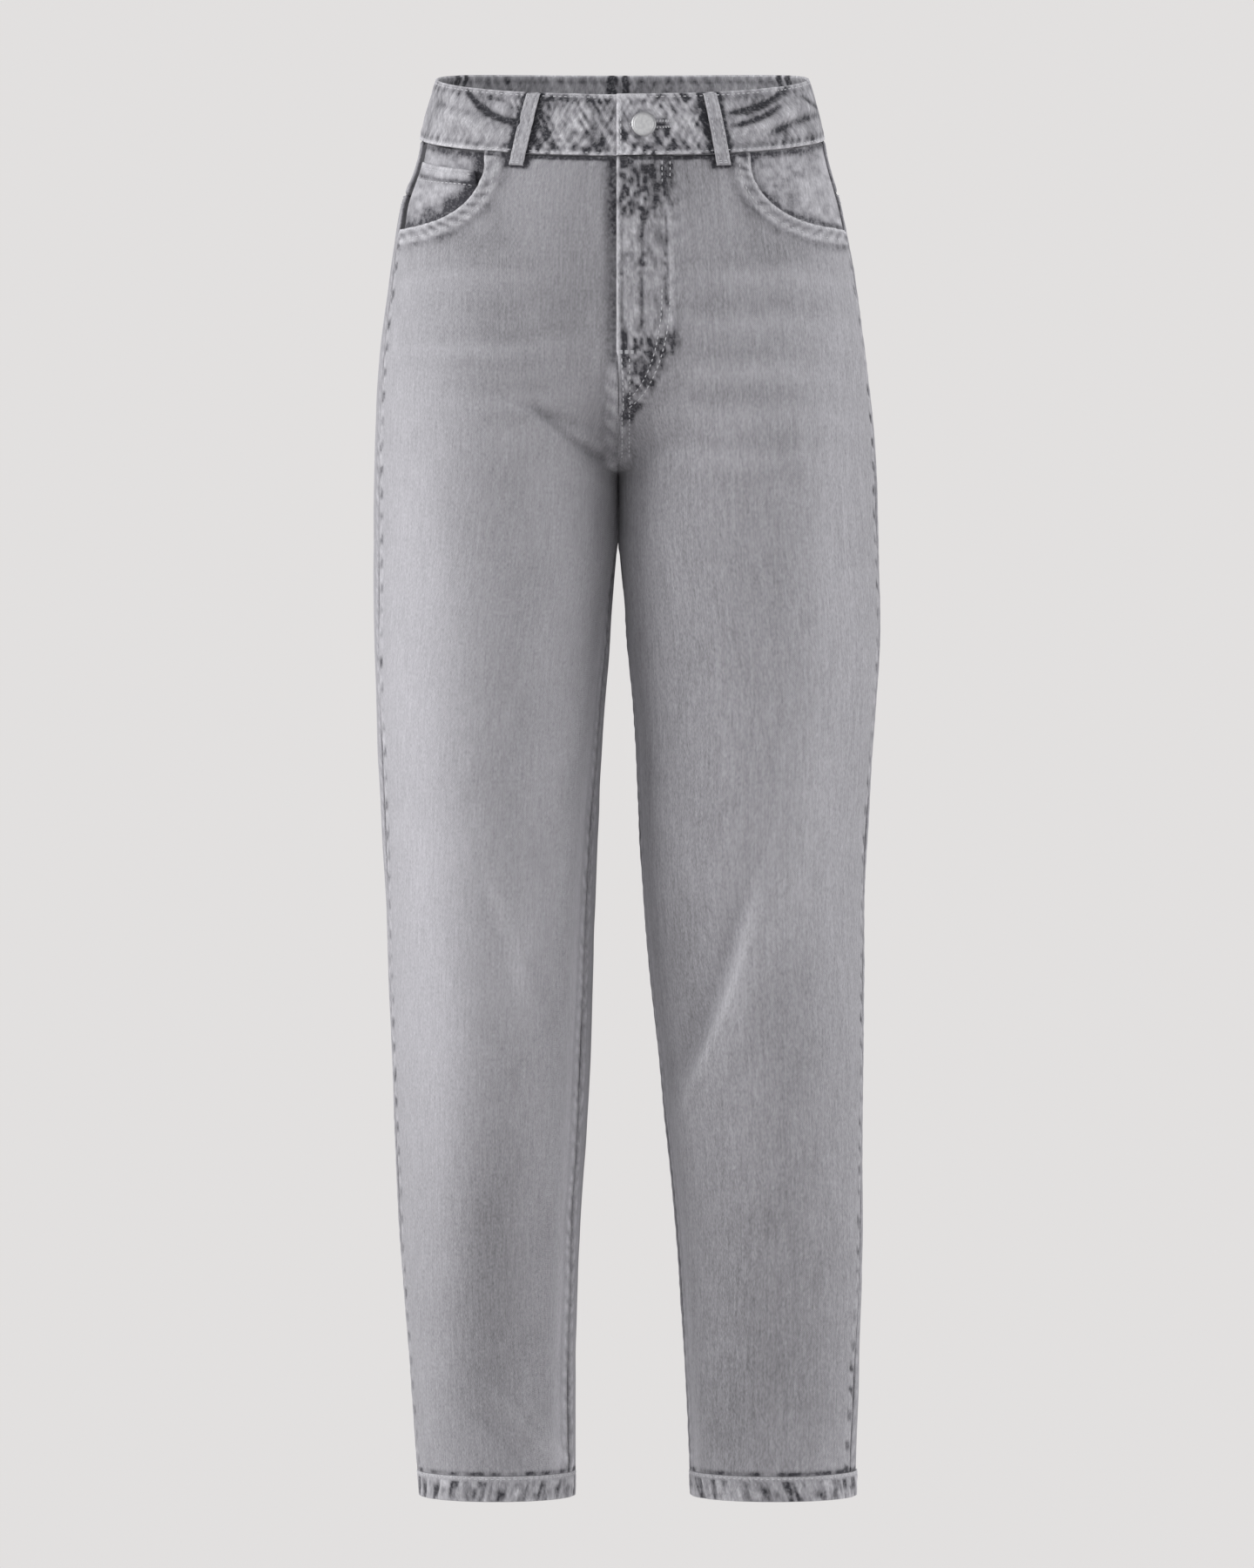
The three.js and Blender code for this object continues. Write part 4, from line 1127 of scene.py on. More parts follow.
def front_at(side, angle, z, lift=0.0):
    """The front's outer surface at any angle and height, with its bleaching, its rubbing and its painted
    light and shade.
    """
    p = plain_point(side, angle, z)
    across = p[..., 0] if side == "left" else -p[..., 0]
    above_crotch = z > CROTCH_Z
    inner = front_inner(side, z)
    beside_leg = (angle - inner) * way_round(side, inner + 0.05, z)
    edge = fly_edge(z) if side == "left" else 0.0
    from_inner = np.maximum(np.where(above_crotch, across - edge, beside_leg), 0)
    from_side = np.maximum((side_seam(side, z) - angle) * way_round(side, side_seam(side, z), z), 0)
    from_waist = np.maximum(waist_line(side, angle) - z, 0)
    from_hem = z - HEM_TOP
    seed = 11 if side == "left" else 31
    fine = soft_noise(p[..., 0] / 2.4, z / 3.0, seed + 7)

    sewn = 1 - smooth(-184, -166, z)
    inner_height, inner_wear_and_shade = sewn_edge(-z, from_inner, 8, 12, seed, 0.5, valley=0.5)
    side_height, side_wear_and_shade = roped_edge(-z, from_side, 9, 17, seed + 1)
    height = closed_up(z, from_inner, inner_height * sewn + side_height + unevenness(p, seed))
    rub = inner_wear_and_shade * sewn + side_wear_and_shade - 0.9 * crease_shade(p)

    waist_pucker = ripples(p[..., 0], from_waist, 9, seed + 2) * (1 - smooth(2, 12, from_waist))
    height = height + 0.35 * waist_pucker - 0.9 * bump(from_waist, 1.6)
    # a painted shadow under the waistband's lower edge
    rub = rub + 0.3 * waist_pucker - 1.1 * (1 - smooth(2.4, 4.4, from_waist))
    # the belt loops' painted shadow on the front
    rub = rub - 1.7 * loop_shade(waist_distance(side, angle), -from_waist) * smooth(12, 8, from_waist)
    rub = rub - above_hem_shade(angle, from_hem, seed)

    mouth_height, mouth_rub = mouth_relief(side, p[..., 0], z, seed)
    height, rub = height + mouth_height, rub + mouth_rub
    if side == "left":
        fly_height, fly_rub = fly_relief(across, z, 55)
        crisp = (1 - sewn) * above_crotch
        height = height + fly_height - rolled(from_inner, 1.0) * crisp
        rub = rub + fly_rub + crisp * (1.3 * bump(from_inner - 0.9, 1.2) - 0.35 * bump(from_inner - 4, 1.2))
    else:
        beside_fly = (1 - smooth(3, 13, from_inner)) * (1 - sewn)
        height = height - 1.2 * beside_fly
        # the painted shadow that the left front's edge casts beside the fly
        rub = rub - beside_fly * (0.5 + 0.35 * smooth(-95, -75, z) + 0.25 * fine)
    wash = fade_and_painted_light_at(p) + painted_light_between_legs(z, from_inner)
    return form_point(side, angle, z, height + lift), wash, np.clip(rub, -1, 1)


def panel_places(inner, outer, top_line, cols, sloping_rows):
    """Angles and heights of a panel's grid, from its inner edge to its side seam and from its top down."""
    even = np.linspace(0, 1, cols)[None, :]
    u = even - 0.25 * np.sin(2 * np.pi * even) / (2 * np.pi)
    v = np.linspace(0, 1, sloping_rows, endpoint=False)[:, None]

    def angle_at(z):
        start, end = inner(z), outer(z)
        return start + (end - start) * u

    def height_at(angle):
        top = top_line(angle, u)
        return top + (LEVEL_Z - top) * v

    top_angle, top_z = settled(angle_at, height_at, (sloping_rows, cols))
    low_z = np.repeat(BELOW_WAIST[:, None], cols, axis=1)
    return np.concatenate([top_angle, angle_at(low_z)]), np.concatenate([top_z, low_z])


def outside_view(flipped, angle, z):
    """A grid whose columns run to the right when it is seen from outside."""
    return (angle[:, ::-1], z[:, ::-1]) if flipped else (angle, z)


# %% Make the fronts
for side in ("right", "left"):
    angle, z = panel_places(
        lambda at: front_inner(side, at),
        lambda at: side_seam(side, at),
        lambda at, share: waist_line(side, at),
        cols=140,
        sloping_rows=68,
    )
    angle, z = outside_view(side == "right", angle, z)
    points, wash, rub = front_at(side, angle, z)
    plain = plain_point(side, angle, z)
    make_cloth(
        f"front_{side}_cloth",
        points,
        f"front_{side}",
        DENIM,
        "denim",
        wash=wash,
        rub=rub,
        keep=mouth_distance(plain[..., 0], z),
    )

# %% [markdown]
# ## Backs and yokes
# The back is a panel below the yoke, the slanting piece that shapes the seat. Its seams are felled: the
# cloth of one piece is folded round the other and sewn twice, which makes a flat band that rubs pale.

# %% The backs as a surface


def back_at(side, angle, z, lift=0.0):
    """The back's outer surface below and above the yoke seam, with its bleaching, its rubbing and its painted
    light and shade.
    """
    p = plain_point(side, angle, z)
    x = np.abs(p[..., 0])
    inner = inner_edge(side, z, 1)
    outer = side_seam(side, z)
    from_inner = np.where(z > CROTCH_Z, x, (inner - angle) * way_round(side, inner - 0.05, z))
    from_side = (angle - outer) * way_round(side, outer, z)
    share = np.clip((angle - outer) / (inner - outer), 0, 1)
    from_yoke = np.abs(yoke_line(side, angle, share) - z)
    seed = 61 if side == "left" else 81
    from_inner = np.maximum(from_inner, 0)
    valley = 0.5 + 0.8 * smooth(CROTCH_Z, CROTCH_Z + 20, z)
    inner_height, inner_wear_and_shade = sewn_edge(-z, from_inner, 9, 12, seed, 0.7, valley)
    side_height, side_wear_and_shade = sewn_edge(-z, np.maximum(from_side, 0), 9, 12, seed + 1, 0.5, valley=0.5)
    yoke_height, yoke_wear_and_shade = sewn_edge(x, from_yoke, 8, 11, seed + 2, 0.8)
    from_waist = np.maximum(waist_line(side, angle) - z, 0)
    waist_height, waist_wear_and_shade = sewn_edge(x, from_waist, 4, 9, seed + 3, 0.6)
    height = inner_height + side_height + yoke_height + waist_height + unevenness(p, seed)
    height = closed_up(z, from_inner, height)
    rub = inner_wear_and_shade + side_wear_and_shade + yoke_wear_and_shade + waist_wear_and_shade - 0.9 * crease_shade(p)
    # the belt loops' painted shadow on the back
    rub = rub - 1.7 * loop_shade(waist_distance(side, angle), -from_waist) * smooth(12, 8, from_waist)
    rub = rub - above_hem_shade(angle, z - HEM_TOP, seed)
    wash = fade_and_painted_light_at(p) + painted_light_between_legs(z, from_inner)
    return form_point(side, angle, z, height + lift), wash, np.clip(rub, -1, 1)


def across_back(side, share):
    """The angle at each height for a share of the way from the middle back to the side seam."""
    return lambda z: inner_edge(side, z, 1, 0.0) * (1 - share) + side_seam(side, z) * share


# %% Make the backs and the yokes
BACK_COLS = 84
YOKE_ROWS = 30
for side in ("right", "left"):
    angle, z = panel_places(
        lambda at: inner_edge(side, at, 1, 0.0),
        lambda at: side_seam(side, at),
        lambda at, share: yoke_line(side, at, 1 - share),
        cols=BACK_COLS,
        sloping_rows=20,
    )
    angle, z = outside_view(side == "left", angle, z)
    points, wash, rub = back_at(side, angle, z)
    make_cloth(f"back_{side}_cloth", points, f"back_{side}", DENIM, "denim", wash=wash, rub=rub)

    u = np.linspace(0, 1, BACK_COLS)[None, :]
    v = np.linspace(0, 1, YOKE_ROWS)[:, None]
    angle, z = settled(
        across_back(side, u),
        lambda at: waist_line(side, at) * (1 - v) + yoke_line(side, at, 1 - u) * v,
        (YOKE_ROWS, BACK_COLS),
    )
    angle, z = outside_view(side == "left", angle, z)
    points, wash, rub = back_at(side, angle, z)
    make_cloth(f"yoke_{side}_cloth", points, f"yoke_{side}", DENIM, "denim", wash=wash, rub=rub)

# %% [markdown]
# ## Waistband
# The waistband is one long strip folded double, so its top edge is a fold and its lower edge hides the raw
# tops of all the panels. It is the thickest cloth on the jeans, so the wash crumples it into short crossing
# dashes, most of all in front between the belt loops.

# %% The waistband as a surface


def waist_point(distance, above, out):
    """A point of the band: a distance round from the middle front to the left, and a height over the seam."""
    numbers = (np.asarray(value, float) for value in (distance, above, out))
    distance, above, out = np.broadcast_arrays(*numbers)
    d = np.mod(distance, WAIST_ROUND)
    on_left = d <= LEFT_ROUND
    points = np.zeros(d.shape + (3,))
    for side, chosen, start in (("left", on_left, d), ("right", ~on_left, WAIST_ROUND - d)):
        if chosen.any():
            angles, reached = RING[side]
            angle = np.interp(start[chosen], reached, angles)
            z = waist_line(side, angle) + above[chosen]
            points[chosen] = form_point(side, angle, z, out[chosen])
    return points


def band_out(distance):
    over = BAND.lap_rise * (1 - smooth(BAND.lap, BAND.lap + BAND.lap_fade, distance))
    lap_end = WAIST_ROUND + BAND_START
    under = BAND.lap_rise * smooth(lap_end - BAND.lap_fade, lap_end, distance)
    return BAND.proud + over - under


def buttonhole_wear_and_shade(distance, above):
    """The slit for the button's shank with painted shade in it, and the pale ring of cloth drawn up round it.
    """
    half_way = above - BAND.height / 2
    from_slit = np.hypot(np.maximum(np.abs(distance - BUTTONHOLE.middle) - BUTTONHOLE.half, 0), half_way)
    around = np.hypot(distance - BUTTON.at, 1.1 * half_way)
    turn = np.arctan2(half_way, distance - BUTTON.at)
    ring = bump(around - 20.5, 1.5) - 0.8 * bump(around - 17, 2.2) + 0.35 * bump(around - 13, 1.6)
    ring = ring * (0.75 + 0.35 * soft_noise(turn * 3, around / 6, 12)) * smooth(BAND_START, 3, distance)
    # painted shade in the slit
    slit_shade = -1.3 * bump(from_slit, 0.9)
    return slit_shade - 0.5 * bump(from_slit - 3.4, 0.9) * (distance > BUTTON.at) + 0.6 * ring


def band_at(distance, above, lift=0.0):
    """The waistband's outer surface with its rubbing and its painted shade and highlight."""
    top = BAND.height - above
    bottom = above - SEAM_GAP
    end = distance - BAND_START
    from_front = np.abs(np.mod(distance + WAIST_ROUND / 2, WAIST_ROUND) - WAIST_ROUND / 2)
    busy = 1 - 0.65 * smooth(62, 84, from_front)
    height = -rolled(top, 1.2) - rolled(bottom, 0.9) - rolled(end, 1.0)
    height = height + stitched_line(top - 2.4) + stitched_line(bottom - 2.2)
    upper = ripples(distance, top, 10, 5) * (1 - smooth(5, 12, top))
    lower = ripples(distance, bottom, 9, 6, lean=-0.6) * (1 - smooth(5, 12, bottom))
    crossing = soft_noise((distance + 0.6 * above) / 2.4, above / 11, 9)
    crossing = crossing - soft_noise((distance - 0.6 * above) / 2.2, above / 12, 19)
    swell = soft_noise(distance / 17, above / 15, 7)
    mottle = soft_noise(distance / 2.1, above / 2.6, 15) + 0.8 * soft_noise(distance / 5, above / 5, 16)
    height = height + 0.3 * upper + 0.35 * lower + 0.3 * busy * crossing + 0.6 * swell
    rub = busy * (0.65 * crossing + 0.5 * mottle - 0.24) + 0.3 * upper + 0.35 * lower + 0.3 * swell + 0.04
    rub = rub + 0.7 * bump(top, 1.2) + 0.7 * bump(bottom - 1.0, 1.2) + 1.2 * bump(end - 1.0, 1.3)
    rub = rub - 0.3 * bump(top - 4.8, 1.6) - 0.35 * bump(bottom - 4.6, 1.6) - 0.3 * bump(end - 4.6, 1.2)
    rub = rub + 0.9 * bump(top - 1.2, 2.4) * smooth(24, 18, from_front)
    slit = bump(distance - BUTTONHOLE.middle, BUTTONHOLE.half) * bump(above - BAND.height / 2, 0.9)
    points = waist_point(distance, above, band_out(distance) + height - 0.8 * slit + lift)
    # painted shade and highlight of the pinches, and the belt loops' painted shadow
    rub = rub - 2.3 * crease_shade(points) - 2.1 * loop_shade(distance, above)
    rub = rub + buttonhole_wear_and_shade(distance, above)
    return points, np.clip(rub, -1, 1)


def steps_to(low, high, edge, count):
    """Even steps with extra ones close to both ends, for rolled edges."""
    close = np.array([0.0, 0.3, 0.7, 1.2])
    middle = np.linspace(low + edge, high - edge, count)
    return np.concatenate([low + close * edge / 1.6, middle, high - close[::-1] * edge / 1.6])


# %% Make the waistband
distance = np.linspace(BAND_START, BAND_END, 760)[None, :]
above = steps_to(SEAM_GAP, BAND.height, 1.6, 32)[::-1][:, None]
points, rub = band_at(distance, above)
make_cloth("waistband_cloth", points, "waistband", BAND_DENIM, "worn_denim", rub=rub, wall=BAND.wall)

# %% [markdown]
# ## Belt loops
# A belt loop is a strip folded in three, so it is stiff and its edges are round. It is caught at both ends
# only, and because it stands proud of everything it is the palest cloth on the jeans.

# %% Make the belt loops
def loop_at(name, aside, along, lift=0.0):
    """A loop's outer surface: aside is across it from its middle, along runs from 0 at its top to 1."""
    place = LOOP_PLACES[name]
    seed = 100 + list(LOOP_PLACES).index(name)
    above = (BAND.height - LOOP.top_gap) * (1 - along) - LOOP.below * along
    length = BAND.height - LOOP.top_gap + LOOP.below
    rest = LOOP.off + BAND.proud * smooth(-4, 0, above)
    out = rest + LOOP.bow * np.sin(np.pi * along) ** 0.8 + LOOP.wall
    from_edge = LOOP.width / 2 - np.abs(aside)
    height = -rolled(from_edge, 1.4) - rolled(np.minimum(along, 1 - along) * length, 1.4)
    height = height + stitched_line(from_edge - 1.9, 0.3)
    height = height + 0.25 * ripples(along * length, from_edge, 7, seed)
    rub = 0.3 * bump(from_edge - 0.8, 1.0) - 0.25 * bump(from_edge - 2.1, 0.7)
    rub = rub + 0.3 * soft_noise(aside / 1.8, along * length / 4, seed) + 0.2
    middle = place.at + place.lean * (1 - along)
    return waist_point(middle + aside, above, out + height + lift), np.clip(rub, -1, 1)


for name in LOOP_PLACES:
    aside = steps_to(-LOOP.width / 2, LOOP.width / 2, 1.6, 9)[None, :]
    along = steps_to(0.0, 1.0, 0.04, 44)[:, None]
    points, rub = loop_at(name, aside, along)
    make_cloth(
        f"belt_loop_{name}_cloth",
        points,
        f"belt_loop_{name}",
        BAND_DENIM,
        "worn_denim",
        rub=rub,
        wall=LOOP.wall,
        rests_on=["waistband_cloth"],
    )

# %% [markdown]
# ## Hems
# The hem is folded up twice and sewn once. The outer layer shrinks against the inner one, and the hem
# twists into the slanting rope of pale ridges and dark hollows that well-worn jeans always have.

# %% Make the hems


def hem_at(side, angle, z, lift=0.0):
    """The hem's outer surface, roped: pale ridges and dark hollows at uneven steps, leaning."""
    up = z - HEM.z
    around = angle * HEM.radius
    seed = 131 if side == "left" else 141
    below_row = 1 - smooth(HEM.height - 4.5, HEM.height - 2.8, up)
    drift = 7 * soft_noise(around / 31, up * 0, seed)
    wave = np.sin(2 * np.pi * (around + 0.35 * up + drift) / 17)
    fickle = 0.65 + 0.5 * soft_noise(around / 24, up / 9, seed + 1)
    hollow = smooth(0.1, 0.6, wave) * fickle * below_row
    dashes = soft_noise((around + 0.3 * up) / 2.4, up / 6, seed + 2)
    dashes = dashes + 0.6 * soft_noise(around / 5, up / 4, seed + 3)
    height = -0.8 * hollow + 0.25 * dashes * below_row - rolled(up, 1.3) - rolled(HEM.height - up, 0.9)
    height = height + stitched_line(HEM.height - up - 1.9)
    rub = 0.14 - 1.1 * hollow + 0.6 * dashes * below_row + 0.3 * bump(up, 1.5)
    rub = rub + 0.5 * bump(HEM.height - up - 0.8, 1.0)
    return form_point(side, angle, z, HEM.proud + height + lift), np.clip(rub, -1, 1)


for side in ("right", "left"):
    direction = 1 if side == "left" else -1
    angle = direction * np.linspace(-np.pi, np.pi, 361)[None, :-1]
    z = steps_to(HEM.z, HEM_TOP, 1.6, 12)[::-1][:, None]
    points, rub = hem_at(side, angle, z)
    plain = plain_point(side, angle, z)
    make_cloth(
        f"hem_{side}_cloth",
        points,
        f"hem_{side}",
        DENIM,
        "worn_denim",
        wash=fade_and_painted_light_at(plain),
        rub=rub,
        wall=HEM.wall,
        around=True,
    )

# %% [markdown]
# ## Pockets
# Behind each mouth lies a facing of the same denim, and on the wearer's right a small coin pocket on it.
# The two back pockets are patches with a pointed bottom, hemmed at the top.

# %% Make the facings, the coin pocket and the back pockets


def facing_at(side, angle, z, layers, seed):
    """The cloth behind a pocket mouth: painted shadow along the mouth's edge and under the waistband, and
    deep, with painted shade, where the right mouth gapes.
    """
    p = plain_point(side, angle, z)
    mouth = mouth_distance(p[..., 0], z)
    gap = bump(mouth + GAPE.inside, GAPE.wide) * bump(z - GAPE.z, GAPE.tall) * (side == "right")
    from_waist = waist_line(side, angle) - z
    rub = 0.35 * soft_noise(p[..., 0] / 5, z / 5, seed)
    rub = rub + 0.25 * soft_noise(p[..., 0] / 2.2, z / 2.6, seed + 1)
    # painted shadow along the mouth's edge, painted shade in the gaping hollow and painted shadow under the
    # waistband
    rub = rub - 0.75 * bump(mouth + 1.5, 2.6) - 4.0 * gap - 0.9 * bump(from_waist - 2, 2.6)
    out = 0.3 * unevenness(p, seed) - layers * LAYER - GAPE.depth * gap
    return form_point(side, angle, z, out), rub


def behind_mouth(side, cut):
    """Angles and heights from a place on the front to the side seam, and from below the waist seam down."""
    rows, cols = 48, 64
    u = np.linspace(0, 1, cols)[None, :]
    v = np.linspace(0, 1, rows)[:, None]

    def angle_at(z):
        outer = side_seam(side, z) - cut.side_turn
        return angle_across(side, z, cut.inner, -1) * (1 - u) + outer * u

    def height_at(angle):
        return (waist_line(side, angle) - cut.top) * (1 - v) + cut.bottom_z * v

    angle, z = settled(angle_at, height_at, (rows, cols))
    return outside_view(side == "right", angle, z)


for side, layers in (("right", 2.4), ("left", 1.0)):
    angle, z = behind_mouth(side, FACING)
    points, rub = facing_at(side, angle, z, layers, 151)
    name = f"pocket_facing_{side}"
    make_cloth(f"{name}_cloth", points, name, DENIM, "denim", rub=np.clip(rub, -1, 1), wash=0.12)


def coin_pocket_at(angle, z, lift=0.0):
    """The coin pocket, with its hem along the top."""
    points, rub = facing_at("right", angle, z, 1.1 - lift / LAYER, 153)
    from_top = waist_line("right", angle) - COIN_POCKET.top - z
    rub = rub + 0.6 * bump(from_top, 1.2) - 0.8 * bump(from_top + 0.6, 0.8) - 0.55 * bump(from_top - 9, 1.4)
    return points, np.clip(rub + 0.25 * bump(from_top - 4.5, 2.5), -1, 1)


angle, z = behind_mouth("right", COIN_POCKET)
points, rub = coin_pocket_at(angle, z)
make_cloth("coin_pocket_cloth", points, "coin_pocket", DENIM, "denim", rub=rub, wash=0.12)


def angle_seen(side, z, aside, turned):
    """The angle where a back panel meets a level line of sight, turned from straight behind to the side."""
    low = np.full(np.broadcast(z, aside).shape, 0.05)
    high = inner_edge(side, z, 1) + np.zeros_like(low)
    for _ in range(26):
        angle = (low + high) / 2
        p = plain_point(side, angle, z)
        beyond = np.abs(p[..., 0]) * math.cos(turned) - p[..., 1] * math.sin(turned) > aside
        low, high = np.where(beyond, angle, low), np.where(beyond, high, angle)
    return low


def back_pocket_at(side, u, v, lift=0.0):
    """The pocket's surface: u runs from the side to the middle and v from the top down, each from 0 to 1."""
    b = BACK_POCKET
    aside = b.inner + b.width * (1 - u) - b.taper * v * (1 - 2 * u)
    point = b.tip * (1 - np.abs(2 * u - 1))
    z = b.top_z - b.drop * u - (b.height + point) * v
    angle = angle_seen(side, z, aside, b.turned)
    p = plain_point(side, angle, z)
    from_sides = np.minimum(u, 1 - u) * b.width
    from_top = v * b.height
    from_bottom = (1 - v) * b.height
    seed = 171 if side == "left" else 191
    edge = np.minimum(from_sides, from_bottom)
    doubled = 1 - smooth(8, 11, edge)
    pucker = ripples(np.where(from_sides < from_bottom, from_top, u * b.width), edge, 10, seed) * doubled
    hemmed = 1 - smooth(22, 26, from_top)
    height = -rolled(edge, 1.1) - rolled(from_top, 1.2) + 0.3 * pucker + 0.3 * np.maximum(doubled, hemmed)
    height = height + stitched_line(edge - 2) + stitched_line(edge - 8) + unevenness(p, seed)
    speckle = soft_noise(p[..., 0] / 2.6, p[..., 2] / 2.6, seed + 1)
    rub = 0.35 * pucker + 0.25 * speckle * doubled + 0.4 * bump(edge, 1.4) + 0.4 * bump(from_top, 1.4)
    rub = rub - 0.25 * bump(edge - 10.5, 2) - 0.25 * bump(from_top - 25, 2)
    out = LAYER + POCKET_EASE + height + lift
    return form_point(side, angle, z, out), fade_and_painted_light_at(p) + 0.04, np.clip(rub, -1, 1)


for side in ("right", "left"):
    u = steps_to(0.0, 1.0, 0.02, 64)[None, :]
    v = steps_to(0.0, 1.0, 0.02, 60)[:, None]
    points, wash, rub = back_pocket_at(side, u if side == "left" else u[:, ::-1], v)
    make_cloth(
        f"back_pocket_{side}_cloth",
        points,
        f"back_pocket_{side}",
        DENIM,
        "denim",
        wash=wash,
        rub=rub,
        rests_on=[f"back_{side}_cloth"],
    )

# %% [markdown]
# ## Behind the fly
# The zip is hidden behind the left front. Its tape and the shield behind it are still made, because they
# show from above and through the open waist.

# %% Make the fly shield and the zip tape


STRIP_COLUMNS = ("node", "low_x", "high_x", "bottom_z", "layers", "finish", "slot", "wall")
STRIPS = (
    ("zip_tape", -12, 16, -142, 1.2, TAPE, "tape", 0.9),
    ("fly_shield", -14, 30, -158, 2.2, DENIM, "denim", CLOTH),
)
u = np.linspace(0, 1, 20)[None, :]
v = np.linspace(0, 1, 60)[:, None]
for strip in named_rows(STRIP_COLUMNS, STRIPS):
    top = waist_line("left", -np.pi)
    z = top * (1 - v) + strip.bottom_z * v
    angle = angle_across("left", z, strip.low_x * (1 - u) + strip.high_x * u, -1)
    plain = plain_point("left", angle, z)
    points = form_point("left", angle, z, -strip.layers * LAYER)
    rub = 0.2 * soft_noise(plain[..., 0] / 5, plain[..., 2] / 5)
    make_cloth(
        f"{strip.node}_cloth", points, strip.node, strip.finish, strip.slot, rub=rub, wall=strip.wall
    )

# %% [markdown]
# ## Stitches
# The jeans are sewn in thread of their own colour. Each stitch is a short bead of thread that sinks into
# the cloth at both ends. A row is a path over the surface it is sewn to, so it follows every pucker there,
# and its stitches are spread evenly from one end of the path to the other.

# %% Rows of stitches
STITCH = SimpleNamespace(length=2.9, gap=1.1, radius=0.38, sides=5)
SEWN_ROWS = []


def on(surface, *first):
    """A surface of the garment as its points alone, for rows of stitches."""
    return lambda *places: surface(*first, *places)[0]


def stitch_row(surface, *places):
    """Adds a row. The surface takes the places and a lift, and gives points."""
    places = np.broadcast_arrays(*(np.asarray(place, float) for place in places))
    over = surface(*places, 0.5 * STITCH.radius)
    under = surface(*places, -1.6 * STITCH.radius)
    SEWN_ROWS.append((over, under))


def bead_rings(over, under):
    """Five rings of points for each stitch of a row, from one sunken end over the top to the other."""
    steps = np.linalg.norm(np.diff(over, axis=0), axis=1)
    reached = np.concatenate([[0], np.cumsum(steps)])
    pitch = STITCH.length + STITCH.gap
    count = max(1, int((reached[-1] + STITCH.gap) // pitch))
    starts = np.arange(count) * reached[-1] / count
    length = reached[-1] / count * STITCH.length / pitch
    shares = np.array([0.0, 0.18, 0.5, 0.82, 1.0])
    at = starts[:, None] + shares * length
    top = np.stack([np.interp(at, reached, over[:, k]) for k in range(3)], axis=-1)
    low = np.stack([np.interp(at, reached, under[:, k]) for k in range(3)], axis=-1)
    sunk = np.array([1.0, 0.25, 0.0, 0.25, 1.0])[None, :, None]
    middle = top * (1 - sunk) + low * sunk
    ahead = np.repeat((top[:, -1:] - top[:, :1]), len(shares), axis=1)
    ahead = ahead / np.maximum(np.linalg.norm(ahead, axis=-1, keepdims=True), 1e-6)
    out = (top - low) / np.linalg.norm(top - low, axis=-1, keepdims=True)
    aside = np.cross(ahead, out)
    turn = 2 * np.pi * np.arange(STITCH.sides) / STITCH.sides
    thick = STITCH.radius * np.array([0.55, 1.0, 1.0, 1.0, 0.55])[None, :, None, None]
    ring = aside[..., None, :] * np.cos(turn)[:, None] + out[..., None, :] * np.sin(turn)[:, None]
    return middle[..., None, :] + thick * ring


def sew(name):
    """Makes one mesh of all the rows added since the last one."""
    rings = np.concatenate([bead_rings(over, under) for over, under in SEWN_ROWS])
    SEWN_ROWS.clear()
    count, lengthwise, sides = rings.shape[:3]
    faces = []
    for first in range(0, count * lengthwise * sides, lengthwise * sides):
        for k in range(lengthwise - 1):
            for side in range(sides):
                a, b = first + k * sides + side, first + k * sides + (side + 1) % sides
                faces.append((a, b, b + sides, a + sides))
        last = first + (lengthwise - 1) * sides
        faces.append(tuple(range(first + sides - 1, first - 1, -1)))
        faces.append(tuple(range(last, last + sides)))
    mesh = bpy.data.meshes.new(name)
    mesh.from_pydata((rings.reshape(-1, 3) * MM).tolist(), [], faces)
    mesh.polygons.foreach_set("use_smooth", [True] * len(mesh.polygons))
    mesh.materials.append(PALE_THREAD)
    piece = bpy.data.objects.new(name, mesh)
    bpy.context.scene.collection.objects.link(piece)
    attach(piece, "root")
    print(f"{name}: {count} stitches")


# %% Sew the fronts
def on_front(side):
    return lambda x, z, lift: front_at(side, angle_across(side, z, x, -1), z, lift)[0]


def front_waist_z(side, x):
    return waist_line(side, angle_across(side, WAIST_LINE.side, x, -1))


def mouth_path(side, away):
    """The pocket mouth's edge moved onto the front by a distance: down, round and out to the side seam."""
    radius = SCOOP.half_width + away
    tall = SCOOP.top_z - SCOOP.bottom_z + away
    turn = np.linspace(0, np.pi / 2, 40)
    seam_x = np.abs(plain_point(side, side_seam(side, SCOOP.bottom_z), SCOOP.bottom_z)[0])
    start_z = front_waist_z(side, SCOOP.centre - radius) - 4
    x = np.concatenate([[SCOOP.centre - radius], SCOOP.centre - radius * np.cos(turn), [seam_x - 3]])
    z = np.concatenate([[start_z], SCOOP.top_z - tall * np.sin(turn), [SCOOP.top_z - tall]])
    return x, z


def fly_path(away):
    """The fly's edge moved inwards by a distance: straight down, then round to the middle."""
    turn = np.linspace(0, 1.42, 40)
    tall = FLY.straight_z - FLY.end_z - away
    x = np.concatenate([[FLY.width - away], (FLY.width - away) * np.cos(turn)])
    z = np.concatenate([[front_waist_z("left", FLY.width) - 4], FLY.straight_z - tall * np.sin(turn)])
    return x, z


